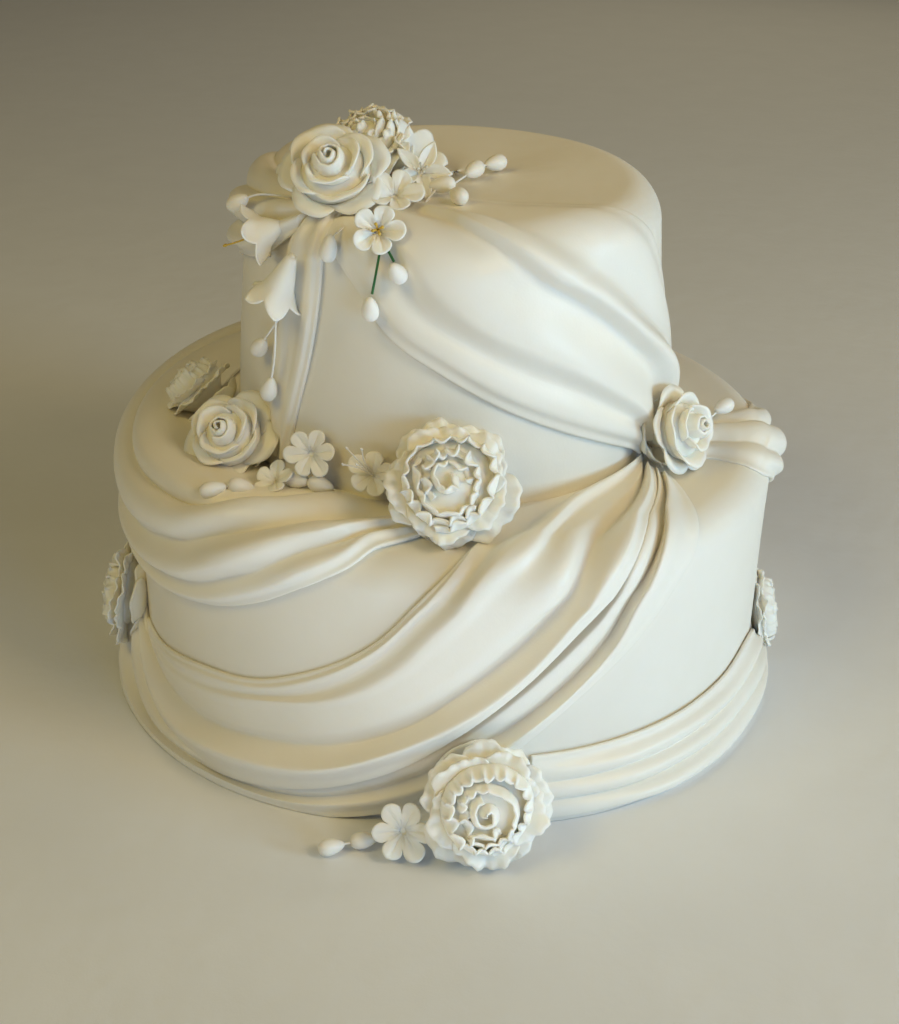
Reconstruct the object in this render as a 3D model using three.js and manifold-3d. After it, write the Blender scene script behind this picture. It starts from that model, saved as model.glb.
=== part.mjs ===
// A two-tier wedding cake in smooth rolled icing. Icing swags sweep over both tiers, gathered
// under sugar roses, with sprays of blossoms and wired buds.
// Millimetres, +Z up, origin at the centre of the base, front of the cake towards -Y.
// Azimuths are in degrees from the front, positive to the right. A path is the distance over the
// icing of a tier: up its wall, over its rounded edge and in across its top.
import * as THREE from 'three';
import Module from 'manifold-3d';
import { mergeVertices } from 'three/addons/utils/BufferGeometryUtils.js';

const wasm = await Module();
wasm.setup();

const GAP = 0.3; // clearance that neighbouring pieces keep
const BURIED = 2; // how far a raw swag reaches into its tier before it is cut back
const TIER_SIDES = 40; // facets round a tier
const EDGE_STEPS = 3; // facets over a tier's rounded edge
const SWAG_STEP = 21; // length of a facet along a swag
const SWAG_BENDS = 3; // facets along a swag where it runs over a tier's rounded edge

const LOWER = { radius: 152, height: 126.5, round: 14, taper: 0, base: 0, centre: 0 };
const UPPER = {
  radius: 101,
  height: 117,
  round: 17,
  taper: 8,
  base: LOWER.height + GAP,
  centre: -2.5,
};

const ICING = new THREE.MeshStandardMaterial({ color: 0xece6d8, roughness: 0.5, metalness: 0 });
const SWAG = new THREE.MeshStandardMaterial({ color: 0xefe9da, roughness: 0.42, metalness: 0 });
const PETAL = new THREE.MeshStandardMaterial({ color: 0xf0ebdd, roughness: 0.55, metalness: 0 });
const BUD = new THREE.MeshStandardMaterial({ color: 0xf6f3ea, roughness: 0.4, metalness: 0 });
const WIRE = new THREE.MeshStandardMaterial({ color: 0x2f6b3a, roughness: 0.5, metalness: 0 });

const radians = THREE.MathUtils.degToRad;

// ---------------------------------------------------------------- closed meshes and cuts

// Turns a closed mesh over if its faces point inwards.
function faceOut(geometry) {
  const position = geometry.attributes.position;
  const index = geometry.index.array;
  const [a, b, c] = [new THREE.Vector3(), new THREE.Vector3(), new THREE.Vector3()];
  let volume = 0;
  for (let i = 0; i < index.length; i += 3) {
    a.fromBufferAttribute(position, index[i]);
    b.fromBufferAttribute(position, index[i + 1]);
    c.fromBufferAttribute(position, index[i + 2]);
    volume += a.dot(b.cross(c));
  }
  if (volume < 0) {
    for (let i = 0; i < index.length; i += 3) {
      [index[i + 1], index[i + 2]] = [index[i + 2], index[i + 1]];
    }
  }
  return geometry;
}

// A geometry with only shared positions, closed and facing out.
function closed(geometry) {
  geometry.deleteAttribute('normal');
  geometry.deleteAttribute('uv');
  return faceOut(mergeVertices(geometry, 1e-3));
}

function toSolid(geometry) {
  const vertProperties = new Float32Array(geometry.attributes.position.array);
  const triVerts = new Uint32Array(geometry.index.array);
  return new wasm.Manifold(new wasm.Mesh({ numProp: 3, vertProperties, triVerts }));
}

function toGeometry(solid) {
  const mesh = solid.getMesh();
  const geometry = new THREE.BufferGeometry();
  geometry.setAttribute('position', new THREE.BufferAttribute(mesh.vertProperties, 3));
  geometry.setIndex(new THREE.BufferAttribute(mesh.triVerts, 1));
  return geometry;
}

// The connected bodies of a mesh, each as a list of its triangles' first index.
function bodies(geometry) {
  const index = geometry.index.array;
  const parent = Array.from({ length: geometry.attributes.position.count }, (_, i) => i);
  const root = (i) => {
    while (parent[i] !== i) {
      parent[i] = parent[parent[i]];
      i = parent[i];
    }
    return i;
  };
  for (let i = 0; i < index.length; i += 3) {
    parent[root(index[i])] = root(index[i + 1]);
    parent[root(index[i + 1])] = root(index[i + 2]);
  }
  const groups = new Map();
  for (let i = 0; i < index.length; i += 3) {
    const key = root(index[i]);
    if (!groups.has(key)) groups.set(key, []);
    groups.get(key).push(i);
  }
  return [...groups.values()];
}

// Keeps the largest body of a cut piece and drops loose scraps.
function largestBody(geometry) {
  const groups = bodies(geometry);
  if (groups.length === 1) return geometry;
  const index = geometry.index.array;
  const position = geometry.attributes.position;
  const [a, b, c] = [new THREE.Vector3(), new THREE.Vector3(), new THREE.Vector3()];
  const volumes = groups.map((group) => group.reduce((sum, i) => {
    a.fromBufferAttribute(position, index[i]);
    b.fromBufferAttribute(position, index[i + 1]);
    c.fromBufferAttribute(position, index[i + 2]);
    return sum + a.dot(b.cross(c));
  }, 0));
  const kept = groups[volumes.indexOf(Math.max(...volumes))];
  geometry.setIndex(kept.flatMap((i) => [index[i], index[i + 1], index[i + 2]]));
  return closed(geometry);
}

// ---------------------------------------------------------------- tiers

function tierGeometry(tier, grow) {
  const { radius, height, round, taper } = tier;
  const shoulder = radius - taper - round;
  const profile = [[0, -grow], [radius + grow, -grow]];
  for (let step = 0; step <= EDGE_STEPS; step += 1) {
    const angle = (Math.PI / 2) * (step / EDGE_STEPS);
    const reach = shoulder + (round + grow) * Math.cos(angle);
    profile.push([reach, height - round + (round + grow) * Math.sin(angle)]);
  }
  profile.push([0, height + grow]);
  return revolve(profile, TIER_SIDES).translate(tier.centre, 0, tier.base);
}

// How far the icing has turned from upright to level at a path.
function tiltAt({ height, round }, path) {
  return THREE.MathUtils.clamp((path - height + round) / round, 0, Math.PI / 2);
}

// A point over the icing of a tier, lifted off it along its normal.
function skin(tier, azimuth, path, lift) {
  const { radius, height, round, taper } = tier;
  const wall = height - round;
  const shoulder = radius - taper - round;
  const tilt = tiltAt(tier, path);
  const inward = Math.max(0, path - wall - (round * Math.PI) / 2);
  const slope = taper * (1 - Math.min(1, path / wall));
  const reach = shoulder + slope + (round + lift) * Math.cos(tilt) - inward;
  const rise = Math.min(path, wall) + (round + lift) * Math.sin(tilt);
  const turn = radians(azimuth);
  return new THREE.Vector3(
    tier.centre + reach * Math.sin(turn),
    -reach * Math.cos(turn),
    tier.base + rise,
  );
}

// ---------------------------------------------------------------- swags

// A smooth value at u of a row of equally spaced values. Past its ends the row runs on straight.
function along(values, u) {
  const inside = THREE.MathUtils.clamp(u, 0, 1);
  const spline = new THREE.SplineCurve(values.map((value, i) => new THREE.Vector2(i, value)));
  const last = values.length - 1;
  const slope = u < 0 ? values[1] - values[0] : values[last] - values[last - 1];
  return spline.getPoint(inside).y + (u - inside) * slope * last;
}

function edgePoint(edge, u) {
  return [along(edge.map((point) => point[0]), u), along(edge.map((point) => point[1]), u)];
}

// Places along a swag, closer together where it runs over the rounded edge of its tier.
function stationsAlong({ tier, upper, lower }) {
  const samples = 200;
  const reached = [0];
  for (let i = 1; i <= samples; i += 1) {
    const steps = [upper, lower].map((edge) => {
      const [from, to] = [edgePoint(edge, (i - 1) / samples), edgePoint(edge, i / samples)];
      const run = Math.hypot(radians(to[0] - from[0]) * tier.radius, to[1] - from[1]);
      const bend = Math.abs(tiltAt(tier, to[1]) - tiltAt(tier, from[1])) / (Math.PI / 2);
      return run / SWAG_STEP + bend * SWAG_BENDS;
    });
    reached.push(reached[i - 1] + Math.max(...steps));
  }
  const count = Math.ceil(reached[samples]);
  const at = (share) => reached.findIndex((value) => value >= share * reached[samples]) / samples;
  return Array.from({ length: count + 1 }, (_, i) => at(Math.min(1, i / count)));
}

// A swag is a sheet laid over a tier between its upper and its lower edge. Its folds are lines
// along it, crests and valleys in turn: how far across it they lie and how far off the icing.
function swagGeometry(swag, grow) {
  const { tier, upper, lower, folds } = swag;
  const stations = stationsAlong(swag);
  const length = stations.length * SWAG_STEP;
  const outer = [];
  const inner = [];
  for (const station of stations) {
    const u = station + (2 * station - 1) * (grow / length);
    const [top, foot] = [edgePoint(upper, u), edgePoint(lower, u)];
    const width = Math.hypot(radians(top[0] - foot[0]) * tier.radius, top[1] - foot[1]);
    for (const fold of folds) {
      const across = along(fold.across, u);
      const v = across + (2 * across - 1) * (grow / width);
      const azimuth = THREE.MathUtils.lerp(top[0], foot[0], v);
      const path = THREE.MathUtils.lerp(top[1], foot[1], v);
      outer.push(skin(tier, azimuth, path, along(fold.lift, u) + grow));
      inner.push(skin(tier, azimuth, path, -BURIED));
    }
  }
  return closeSheet(outer, inner, folds.length);
}

// Closes two alike grids of points, a sheet's two faces, round their border.
function closeSheet(outer, inner, columns) {
  const rows = outer.length / columns;
  const under = outer.length;
  const index = [];
  const quad = (a, b, c, d) => index.push(a, b, c, a, c, d);
  for (let i = 0; i < rows - 1; i += 1) {
    for (let j = 0; j < columns - 1; j += 1) {
      const [a, b] = [i * columns + j, (i + 1) * columns + j];
      const crossed = outer[a].distanceTo(outer[b + 1]) > outer[b].distanceTo(outer[a + 1]);
      if (crossed) {
        quad(b, b + 1, a + 1, a);
        quad(under + b, under + a, under + a + 1, under + b + 1);
      } else {
        quad(a, b, b + 1, a + 1);
        quad(under + a, under + a + 1, under + b + 1, under + b);
      }
    }
    for (const [j, turned] of [[0, false], [columns - 1, true]]) {
      const [a, b] = [i * columns + j, (i + 1) * columns + j];
      if (turned) quad(a, b, under + b, under + a);
      else quad(a, under + a, under + b, b);
    }
  }
  for (let j = 0; j < columns - 1; j += 1) {
    const last = (rows - 1) * columns + j;
    quad(j, j + 1, under + j + 1, under + j);
    quad(last, under + last, under + last + 1, last + 1);
  }
  const geometry = new THREE.BufferGeometry();
  geometry.setAttribute('position', new THREE.Float32BufferAttribute(
    [...outer, ...inner].flatMap((point) => point.toArray()),
    3,
  ));
  geometry.setIndex(index);
  return faceOut(geometry);
}

// Sweeps over the front of the lower tier, from the gather at the right to the left base rose.
const MAIN_SWAG = {
  tier: LOWER,
  upper: [[62, 166], [31, 168], [5, 132], [-8, 101], [-25, 65], [-51, 46], [-66, 40]],
  lower: [[56, 160], [33, 132], [21, 104], [5, 61], [-19, 17], [-48, 8], [-71, 14]],
  folds: [
    { across: [0, 0], lift: [4, 2.5, 2.5, 2.5] },
    { across: [0.1, 0.1, 0.08, 0.08], lift: [6, 4, 4.5, 5] },
    { across: [0.18, 0.14, 0.17, 0.15], lift: [4, 3, 3, 3.5] },
    { across: [0.3, 0.24, 0.32, 0.36, 0.32, 0.22, 0.3], lift: [9, 10, 8, 9, 8, 6, 6] },
    { across: [0.55, 0.66, 0.76, 0.6, 0.5, 0.46, 0.5], lift: [5, 4, 4, 3, 3, 3, 4] },
    { across: [0.8, 0.9, 0.93, 0.9, 0.8, 0.76, 0.78], lift: [9, 12, 13, 14, 15, 13, 9] },
    { across: [1, 1], lift: [5, 5, 5, 6, 6, 5] },
  ],
};

// Lies under the main swag: round the foot of the cake, then up past the front to the gather.
const UNDER_SWAG = {
  tier: LOWER,
  upper: [[-70, 34], [-52, 20], [-28, 22], [-4, 42], [11, 76], [27, 120], [54, 158]],
  lower: [[-78, 8], [-64, 0], [-38, 0], [-8, 3], [16, 38], [37, 102], [58, 158]],
  folds: [
    { across: [0, 0], lift: [4, 3, 2, 2] },
    { across: [0.45, 0.55, 0.6, 0.55, 0.5, 0.45], lift: [11, 10, 7, 6, 5, 5] },
    { across: [0.72, 0.78, 0.78, 0.75], lift: [7, 7, 5, 4, 4, 4] },
    { across: [1, 1], lift: [9, 8, 5, 3.5, 3, 3] },
  ],
};

// Rolls over the left shoulder of the lower tier, from the front rose round to the back.
const SHOULDER_SWAG = {
  tier: LOWER,
  upper: [[-8, 166], [-26, 167], [-44, 144], [-66, 135], [-90, 137], [-118, 146], [-146, 156], [-172, 162]],
  lower: [[-4, 147], [-17, 121], [-35, 92], [-58, 80], [-86, 85], [-118, 94], [-146, 114], [-170, 150]],
  folds: [
    { across: [0, 0], lift: [3, 2, 2, 3] },
    { across: [0.14, 0.12, 0.14], lift: [5, 4, 4.5, 5] },
    { across: [0.26, 0.28, 0.27, 0.25, 0.26], lift: [3, 2.5, 3] },
    { across: [0.36, 0.42, 0.42, 0.5, 0.5, 0.44, 0.4], lift: [7, 10, 11, 12, 11, 10, 7] },
    { across: [0.5, 0.55, 0.6, 0.69, 0.68, 0.6, 0.55], lift: [4, 4, 5, 5, 4] },
    { across: [0.64, 0.67, 0.7, 0.78, 0.77, 0.72, 0.68], lift: [9, 10, 10, 9, 8] },
    { across: [0.8, 0.81, 0.82, 0.87, 0.86, 0.84, 0.82], lift: [4, 4, 4, 4] },
    { across: [0.91, 0.91, 0.92, 0.94, 0.93, 0.91], lift: [6, 6, 6.5, 6] },
    { across: [1, 1], lift: [3, 3, 3.5, 3] },
  ],
};

// Three rolls over the right shoulder of the lower tier, from the gather round to the back.
const SIDE_SWAG = {
  tier: LOWER,
  upper: [[64, 166], [80, 158], [98, 152], [120, 150], [146, 155], [172, 162]],
  lower: [[57, 152], [66, 130], [86, 111], [114, 104], [144, 118], [170, 150]],
  folds: [
    { across: [0, 0], lift: [3, 2, 2, 3] },
    { across: [0.24, 0.28, 0.3, 0.26], lift: [7, 9, 9, 7] },
    { across: [0.44, 0.5, 0.48, 0.44], lift: [4, 4, 4, 4] },
    { across: [0.62, 0.68, 0.66, 0.62], lift: [8, 10, 10, 8] },
    { across: [0.78, 0.81, 0.8, 0.78], lift: [4.5, 5, 5, 4.5] },
    { across: [0.88, 0.9, 0.9, 0.88], lift: [6, 7, 7, 6] },
    { across: [1, 1], lift: [3, 3.5, 3] },
  ],
};

// The broad swag over the front of the upper tier, hooked back into the gather at the right.
const CROWN_SWAG = {
  tier: UPPER,
  upper: [[-24, 150], [2, 152], [34, 143], [57, 120], [75, 84], [90, 46], [70, 16]],
  lower: [[-30, 104], [-18, 83], [-3, 64], [13, 49], [28, 35], [42, 23], [56, 12]],
  folds: [
    { across: [0, 0], lift: [1.6, 1.4, 1.4, 2, 4] },
    { across: [0.22, 0.2, 0.2, 0.18], lift: [2.5, 2.5, 3, 4, 6] },
    { across: [0.36, 0.38, 0.4, 0.38, 0.36], lift: [5, 8, 9, 11, 10] },
    { across: [0.44, 0.47, 0.5, 0.48, 0.5], lift: [4, 3.5, 3.5, 4, 5] },
    { across: [0.62, 0.68, 0.7, 0.68, 0.66], lift: [8, 9, 8, 7, 8] },
    { across: [0.76, 0.81, 0.83, 0.82, 0.8], lift: [4, 3.5, 4, 4, 5] },
    { across: [0.9, 0.93, 0.94, 0.93], lift: [5, 5.5, 5, 6] },
    { across: [1, 1], lift: [3, 3, 3.5, 4] },
  ],
};

// Falls from the cluster round the left edge of the upper tier and down its back.
const REAR_SWAG = {
  tier: UPPER,
  upper: [[-42, 138], [-64, 146], [-92, 142], [-124, 126], [-154, 86], [-176, 46], [-178, 18]],
  lower: [[-44, 110], [-60, 93], [-82, 82], [-108, 62], [-134, 38], [-154, 22], [-168, 12]],
  folds: [
    { across: [0, 0], lift: [3, 2, 2, 4] },
    { across: [0.22, 0.26, 0.26, 0.24], lift: [6, 4.5, 5, 7, 8] },
    { across: [0.38, 0.42, 0.4, 0.4], lift: [4, 2.5, 2.5, 4, 5] },
    { across: [0.56, 0.6, 0.58, 0.56], lift: [6, 5, 6, 9, 8] },
    { across: [0.7, 0.74, 0.72, 0.7], lift: [4, 3, 3, 4, 5] },
    { across: [0.86, 0.88, 0.87, 0.86], lift: [7, 8, 8, 8, 7] },
    { across: [1, 1], lift: [3, 3.5, 4] },
  ],
};

// A narrow tail of icing that hangs from the cluster down the front left of the upper tier.
const TAIL = {
  tier: UPPER,
  upper: [[-46, 110], [-50, 82], [-51, 56], [-51, 32], [-48, 8]],
  lower: [[-36, 110], [-36, 86], [-38, 60], [-42, 34], [-46, 8]],
  folds: [
    { across: [0, 0], lift: [3, 2.5, 2.5] },
    { across: [0.25, 0.3, 0.35], lift: [5, 4.5, 4] },
    { across: [0.55, 0.6, 0.6], lift: [3, 2.5, 3] },
    { across: [0.8, 0.8, 0.75], lift: [6, 5, 4] },
    { across: [1, 1], lift: [2.5, 2.5, 2.5] },
  ],
};

// A swag round the foot of the cake from one rose to the next. Its rise and its hem are the paths
// of its upper and its lower edge, equally spaced.
function footSwag({ from, to, rise, hem }) {
  const span = to - from;
  const row = (paths) => paths.map((path, i) => [from + (span * i) / (paths.length - 1), path]);
  return {
    tier: LOWER,
    upper: row(rise),
    lower: row(hem),
    folds: [
      { across: [0, 0], lift: [3, 3] },
      { across: [0.2, 0.2, 0.18], lift: [5, 8, 8, 8, 8, 5] },
      { across: [0.36, 0.35, 0.34], lift: [4, 5, 5, 5, 5, 4] },
      { across: [0.52, 0.5, 0.5], lift: [6, 10, 11, 11, 10, 6] },
      { across: [0.66, 0.65, 0.66], lift: [4, 6, 7, 7, 6, 4] },
      { across: [0.82, 0.82, 0.82], lift: [7, 11, 13, 13, 12, 8] },
      { across: [1, 1], lift: [5, 8, 9, 9, 8, 5] },
    ],
  };
}

const FOOT_SWAGS = {
  foot_swag_front: { from: 14, to: 81, rise: [34, 33, 33, 34, 36, 32], hem: [0, 0, 0, 0, 0, 6] },
  foot_swag_right: { from: 91, to: 174, rise: [32, 37, 35, 35, 42, 54], hem: [6, 0, 0, 0, 0, 4] },
  foot_swag_left: { from: -86, to: -174, rise: [50, 40, 36, 36, 42, 54], hem: [6, 0, 0, 0, 0, 4] },
};

// ---------------------------------------------------------------- flowers

// A closed turned form from [radius, height] pairs, from the axis to the axis, with a wave that
// stretches and raises it round its outline. Its axis is Z.
function revolve(profile, sides, wave = () => [1, 0]) {
  const points = profile.map(([radius, height]) => new THREE.Vector2(radius, height));
  const geometry = new THREE.LatheGeometry(points, sides).rotateX(Math.PI / 2);
  const position = geometry.attributes.position;
  const point = new THREE.Vector3();
  for (let i = 0; i < position.count; i += 1) {
    point.fromBufferAttribute(position, i);
    const radius = Math.hypot(point.x, point.y);
    const [stretch, rise] = wave(Math.atan2(point.y, point.x), radius);
    position.setXYZ(i, point.x * stretch, point.y * stretch, point.z + rise);
  }
  return closed(geometry);
}

// Rows of petals round a centre: each row is a crest with a groove inside it, higher than the
// row outside it. The underside narrows to a neck that reaches the icing. A grown rose, which
// clears its neighbours, has no grooves.
function roseGeometry({ radius, height, rows, petals, ruffle, neck }, grow) {
  const full = radius + grow;
  const profile = [[0, -neck - grow], [0.32 * full, -neck - grow]];
  profile.push([0.6 * full, -0.25 * height - grow], [0.94 * full, 0.12 * height - grow]);
  for (let row = 0; row < rows; row += 1) {
    const reach = 1 - row / rows;
    const crest = height * (0.34 + 0.66 * Math.sqrt(row / rows));
    const groove = crest - height * (0.3 - 0.12 * (row / rows));
    profile.push([reach * full, crest + grow]);
    if (grow === 0) profile.push([(reach - 0.5 / rows) * full, groove]);
  }
  profile.push([0, height * 0.92 + grow]);
  const wave = (angle, reach) => {
    const share = reach / full;
    const swing = Math.cos(petals * angle + 4 * Math.PI * share);
    return [1 + 0.05 * share * swing, ruffle * share * Math.cos(2 * petals * angle + 9 * share)];
  };
  return revolve(profile, 3 * petals, wave);
}

// An open blossom: petals round a shallow cup on a stem. A pointed one has narrow petal tips, and
// the others have blunt tips, two facets wide.
function blossomGeometry({ radius, petals, cup, stem, pointed }, grow) {
  const thick = 0.9 + grow;
  const profile = [
    [0, -stem - grow],
    [0.2 * radius + grow, -cup - thick],
    [radius + grow, -thick * 0.6],
    [radius + grow, thick * 0.6],
    [0.3 * radius, -0.6 * cup + thick],
    [0, -cup + thick],
  ];
  const phase = pointed ? 0 : Math.PI / 6;
  const wave = (angle, reach) => {
    const share = Math.min(1, reach / radius);
    const petal = Math.abs(Math.cos((petals * angle) / 2 + phase));
    return [1 - share * 0.42 * (1 - petal), share * 0.08 * radius * petal];
  };
  return revolve(profile, petals * (pointed ? 2 : 3), wave);
}

// A trumpet blossom: a narrow throat that flares to pointed petals.
function trumpetGeometry({ radius, length, petals }, grow) {
  const thick = 0.8 + grow;
  const profile = [
    [0, -length - grow],
    [0.12 * radius + thick, -length],
    [0.34 * radius + thick, -0.45 * length],
    [radius + grow, 0],
    [0.94 * radius, thick],
    [0.3 * radius, -0.35 * length],
    [0, -0.6 * length],
  ];
  const wave = (angle, reach) => {
    const share = Math.min(1, reach / radius) ** 2;
    const petal = Math.abs(Math.cos((petals * angle) / 2));
    return [1 - share * 0.4 * (1 - petal), 0];
  };
  return revolve(profile, petals * 2, wave);
}

function direction(azimuth, elevation) {
  const [turn, climb] = [radians(azimuth), radians(elevation)];
  return new THREE.Vector3(
    Math.cos(climb) * Math.sin(turn),
    -Math.cos(climb) * Math.cos(turn),
    Math.sin(climb),
  );
}

// Moves a flower to its place with its face towards an azimuth and an elevation.
function pose(geometry, { at, faces, spin = 0 }) {
  const axis = direction(...faces);
  const turn = new THREE.Quaternion().setFromUnitVectors(new THREE.Vector3(0, 0, 1), axis);
  return geometry.rotateZ(radians(spin)).applyQuaternion(turn).translate(at.x, at.y, at.z);
}

const ROSES = {
  cluster_rose: {
    form: { radius: 21.5, height: 15, rows: 4, petals: 5, ruffle: 0, neck: 18 },
    place: { at: skin(UPPER, -43, 130, 15), faces: [-14, 40] },
  },
  cluster_ruffled_rose: {
    form: { radius: 20, height: 13, rows: 3, petals: 6, ruffle: 1.4, neck: 13 },
    place: { at: skin(UPPER, -78, 166, 11), faces: [-60, 74] },
  },
  front_rose: {
    form: { radius: 27.5, height: 15, rows: 4, petals: 6, ruffle: 1.6, neck: 24 },
    place: { at: new THREE.Vector3(-1.5, -119, 148.5), faces: [0, 38] },
  },
  gather_rose: {
    form: { radius: 18, height: 14, rows: 3, petals: 5, ruffle: 0.8, neck: 20 },
    place: { at: skin(LOWER, 61.5, 159, 20), faces: [63, 24] },
  },
  ledge_rose: {
    form: { radius: 19, height: 14, rows: 3, petals: 5, ruffle: 0, neck: 22 },
    place: { at: skin(LOWER, -57, 155, 14), faces: [-24, 44] },
  },
  ledge_ruffled_rose: {
    form: { radius: 18, height: 13, rows: 3, petals: 6, ruffle: 1.2, neck: 20 },
    place: { at: skin(LOWER, -83, 152, 13), faces: [-104, 44] },
  },
  foot_rose: {
    form: { radius: 28, height: 15, rows: 4, petals: 6, ruffle: 1.6, neck: 20 },
    place: { at: new THREE.Vector3(17.4, -174.5, 28), faces: [4, 20] },
  },
  left_base_rose: {
    form: { radius: 25, height: 14, rows: 3, petals: 6, ruffle: 1.2, neck: 12 },
    place: { at: skin(LOWER, -77, 42, 10), faces: [-92, 6] },
  },
  right_base_rose: {
    form: { radius: 20, height: 8, rows: 3, petals: 6, ruffle: 1, neck: 7 },
    place: { at: skin(LOWER, 86, 25, 6), faces: [88, 6] },
  },
  back_ledge_rose: {
    form: { radius: 27, height: 15, rows: 3, petals: 6, ruffle: 1.4, neck: 24 },
    place: { at: new THREE.Vector3(0, 119, 148.5), faces: [180, 38] },
  },
  back_base_rose: {
    form: { radius: 26, height: 14, rows: 3, petals: 6, ruffle: 1.4, neck: 18 },
    place: { at: skin(LOWER, 180, 34, 16), faces: [180, 14] },
  },
};

const BLOSSOMS = {
  cluster_ribbed_blossom: {
    form: { radius: 11, petals: 5, cup: 4, stem: 12, pointed: false },
    place: { at: skin(UPPER, -21, 135, 10), faces: [10, 55] },
  },
  cluster_star_blossom: {
    form: { radius: 13, petals: 5, cup: 3, stem: 18, pointed: true },
    place: { at: skin(UPPER, -20, 160, 12), faces: [10, 40] },
  },
  cluster_cup_blossom: {
    form: { radius: 10, petals: 5, cup: 5, stem: 13, pointed: false },
    place: { at: skin(UPPER, -18, 113, 12), faces: [2, 25] },
  },
  cluster_side_blossom: {
    form: { radius: 13, petals: 5, cup: 4, stem: 13, pointed: false },
    place: { at: skin(UPPER, -66, 136, 12), faces: [-70, 40] },
  },
  ledge_open_blossom: {
    form: { radius: 11, petals: 6, cup: 2.5, stem: 9, pointed: false },
    place: { at: skin(UPPER, -33, 19.5, 8), faces: [-12, 26] },
  },
  ledge_side_blossom: {
    form: { radius: 10, petals: 5, cup: 3, stem: 11, pointed: false },
    place: { at: skin(UPPER, -17, 18, 9), faces: [-10, 34] },
  },
  ledge_low_blossom: {
    form: { radius: 9, petals: 5, cup: 3, stem: 9, pointed: false },
    place: { at: skin(LOWER, -40, 153, 8), faces: [-36, 60] },
  },
  foot_blossom: {
    form: { radius: 14, petals: 6, cup: 3, stem: 12, pointed: true },
    place: { at: new THREE.Vector3(-16.5, -176, 13.5), faces: [-6, 26] },
  },
};

const TRUMPETS = {
  cluster_lily: {
    form: { radius: 14, length: 23, petals: 5 },
    place: { at: skin(UPPER, -46, 182, 17), faces: [60, 50] },
  },
  cluster_side_trumpet: {
    form: { radius: 11.5, length: 18, petals: 5 },
    place: { at: skin(UPPER, -54, 104, 14), faces: [-72, 4] },
  },
  cluster_hanging_trumpet: {
    form: { radius: 10.5, length: 22, petals: 5 },
    place: { at: skin(UPPER, -46.5, 76, 9.5), faces: [-40, -62] },
  },
};

// ---------------------------------------------------------------- buds on wires

function budGeometry(length, radius, grow) {
  const full = radius + grow;
  const half = length / 2 + grow;
  const blunt = [[0, -half], [0.8 * full, -0.7 * half], [full, 0]];
  const pointed = [[0.55 * full, 0.5 * half], [0, half]];
  return revolve([...blunt, ...pointed], 6);
}

function wireGeometry(points, radius) {
  const route = new THREE.CatmullRomCurve3(points);
  const section = new THREE.Shape();
  section.absarc(0, 0, radius, 0, 2 * Math.PI);
  const steps = 2 * (points.length - 1);
  const options = { steps, extrudePath: route, curveSegments: 2, bevelEnabled: false };
  return closed(new THREE.ExtrudeGeometry(section, options));
}

// A wire over the icing with a bud at each share of its length, fused to it.
function sprayGeometry({ points, buds, size = [12, 3.4] }, grow) {
  const route = new THREE.CatmullRomCurve3(points);
  let spray = toSolid(wireGeometry(points, 0.6 + grow));
  for (const share of buds) {
    const at = route.getPointAt(share);
    const away = route.getTangentAt(share);
    const turn = new THREE.Quaternion().setFromUnitVectors(new THREE.Vector3(0, 0, -1), away);
    const bud = budGeometry(...size, grow).applyQuaternion(turn).translate(at.x, at.y, at.z);
    spray = spray.add(toSolid(bud));
  }
  return closed(toGeometry(spray));
}

const over = (tier, route) => route.map(([azimuth, path, lift]) => skin(tier, azimuth, path, lift));

const SPRAYS = {
  left_bud: { points: over(UPPER, [[-52, 121, 3], [-58, 113, 12], [-64, 107, 15]]), buds: [0.85] },
  chin_bud: { points: over(UPPER, [[-30, 117, 2], [-30.5, 110, 7], [-31, 104, 6]]), buds: [0.8] },
  top_far_spray: {
    points: over(UPPER, [[-6, 176, 1], [30, 187, 5], [60, 189, 5], [88, 184, 5]]),
    buds: [0.5, 0.95],
  },
  top_near_spray: {
    points: over(UPPER, [[-14, 148, 1], [-8, 158, 7], [-2, 155, 6], [2, 148, 6]]),
    buds: [0.5, 0.95],
  },
  hanging_bud_left: { points: over(UPPER, [[-46, 76, 2], [-51, 61, 6], [-54, 54, 6]]), buds: [0.9] },
  hanging_bud_long: { points: over(UPPER, [[-45, 80, 9], [-45.5, 56, 8], [-48, 37, 7]]), buds: [0.92] },
  ledge_left_spray: {
    points: over(LOWER, [[-40, 149, 1], [-43, 139, 7], [-46, 130, 7]]),
    buds: [0.45, 0.9],
  },
  ledge_right_spray: {
    points: over(LOWER, [[-22, 168, 1], [-31, 163, 7], [-37, 160, 7]]),
    buds: [0.6, 0.95],
  },
  gather_spray: { points: over(LOWER, [[76, 157, 5], [82, 147, 13], [84.5, 142, 13]]), buds: [0.8] },
  foot_spray: {
    points: [[-22, -173, 8], [-34, -172, 5], [-49, -177, 4.5]].map((at) => new THREE.Vector3(...at)),
    buds: [0.4, 0.9],
  },
};

const GREEN_WIRES = {
  green_wire_long: over(UPPER, [[-17.4, 111, 7], [-17.6, 101, 8.5], [-18.2, 95, 8.5]]),
  green_wire_short: over(UPPER, [[-17, 111, 7], [-15, 108.5, 8.5], [-13.4, 106, 8.5]]),
};

const WIRED_BUDS = {
  wired_bud_long: { at: skin(UPPER, -18.7, 88.4, 8), faces: [-18, 80] },
  wired_bud_short: { at: skin(UPPER, -11.5, 101.5, 8), faces: [-50, 50] },
};

// ---------------------------------------------------------------- assembly

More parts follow.
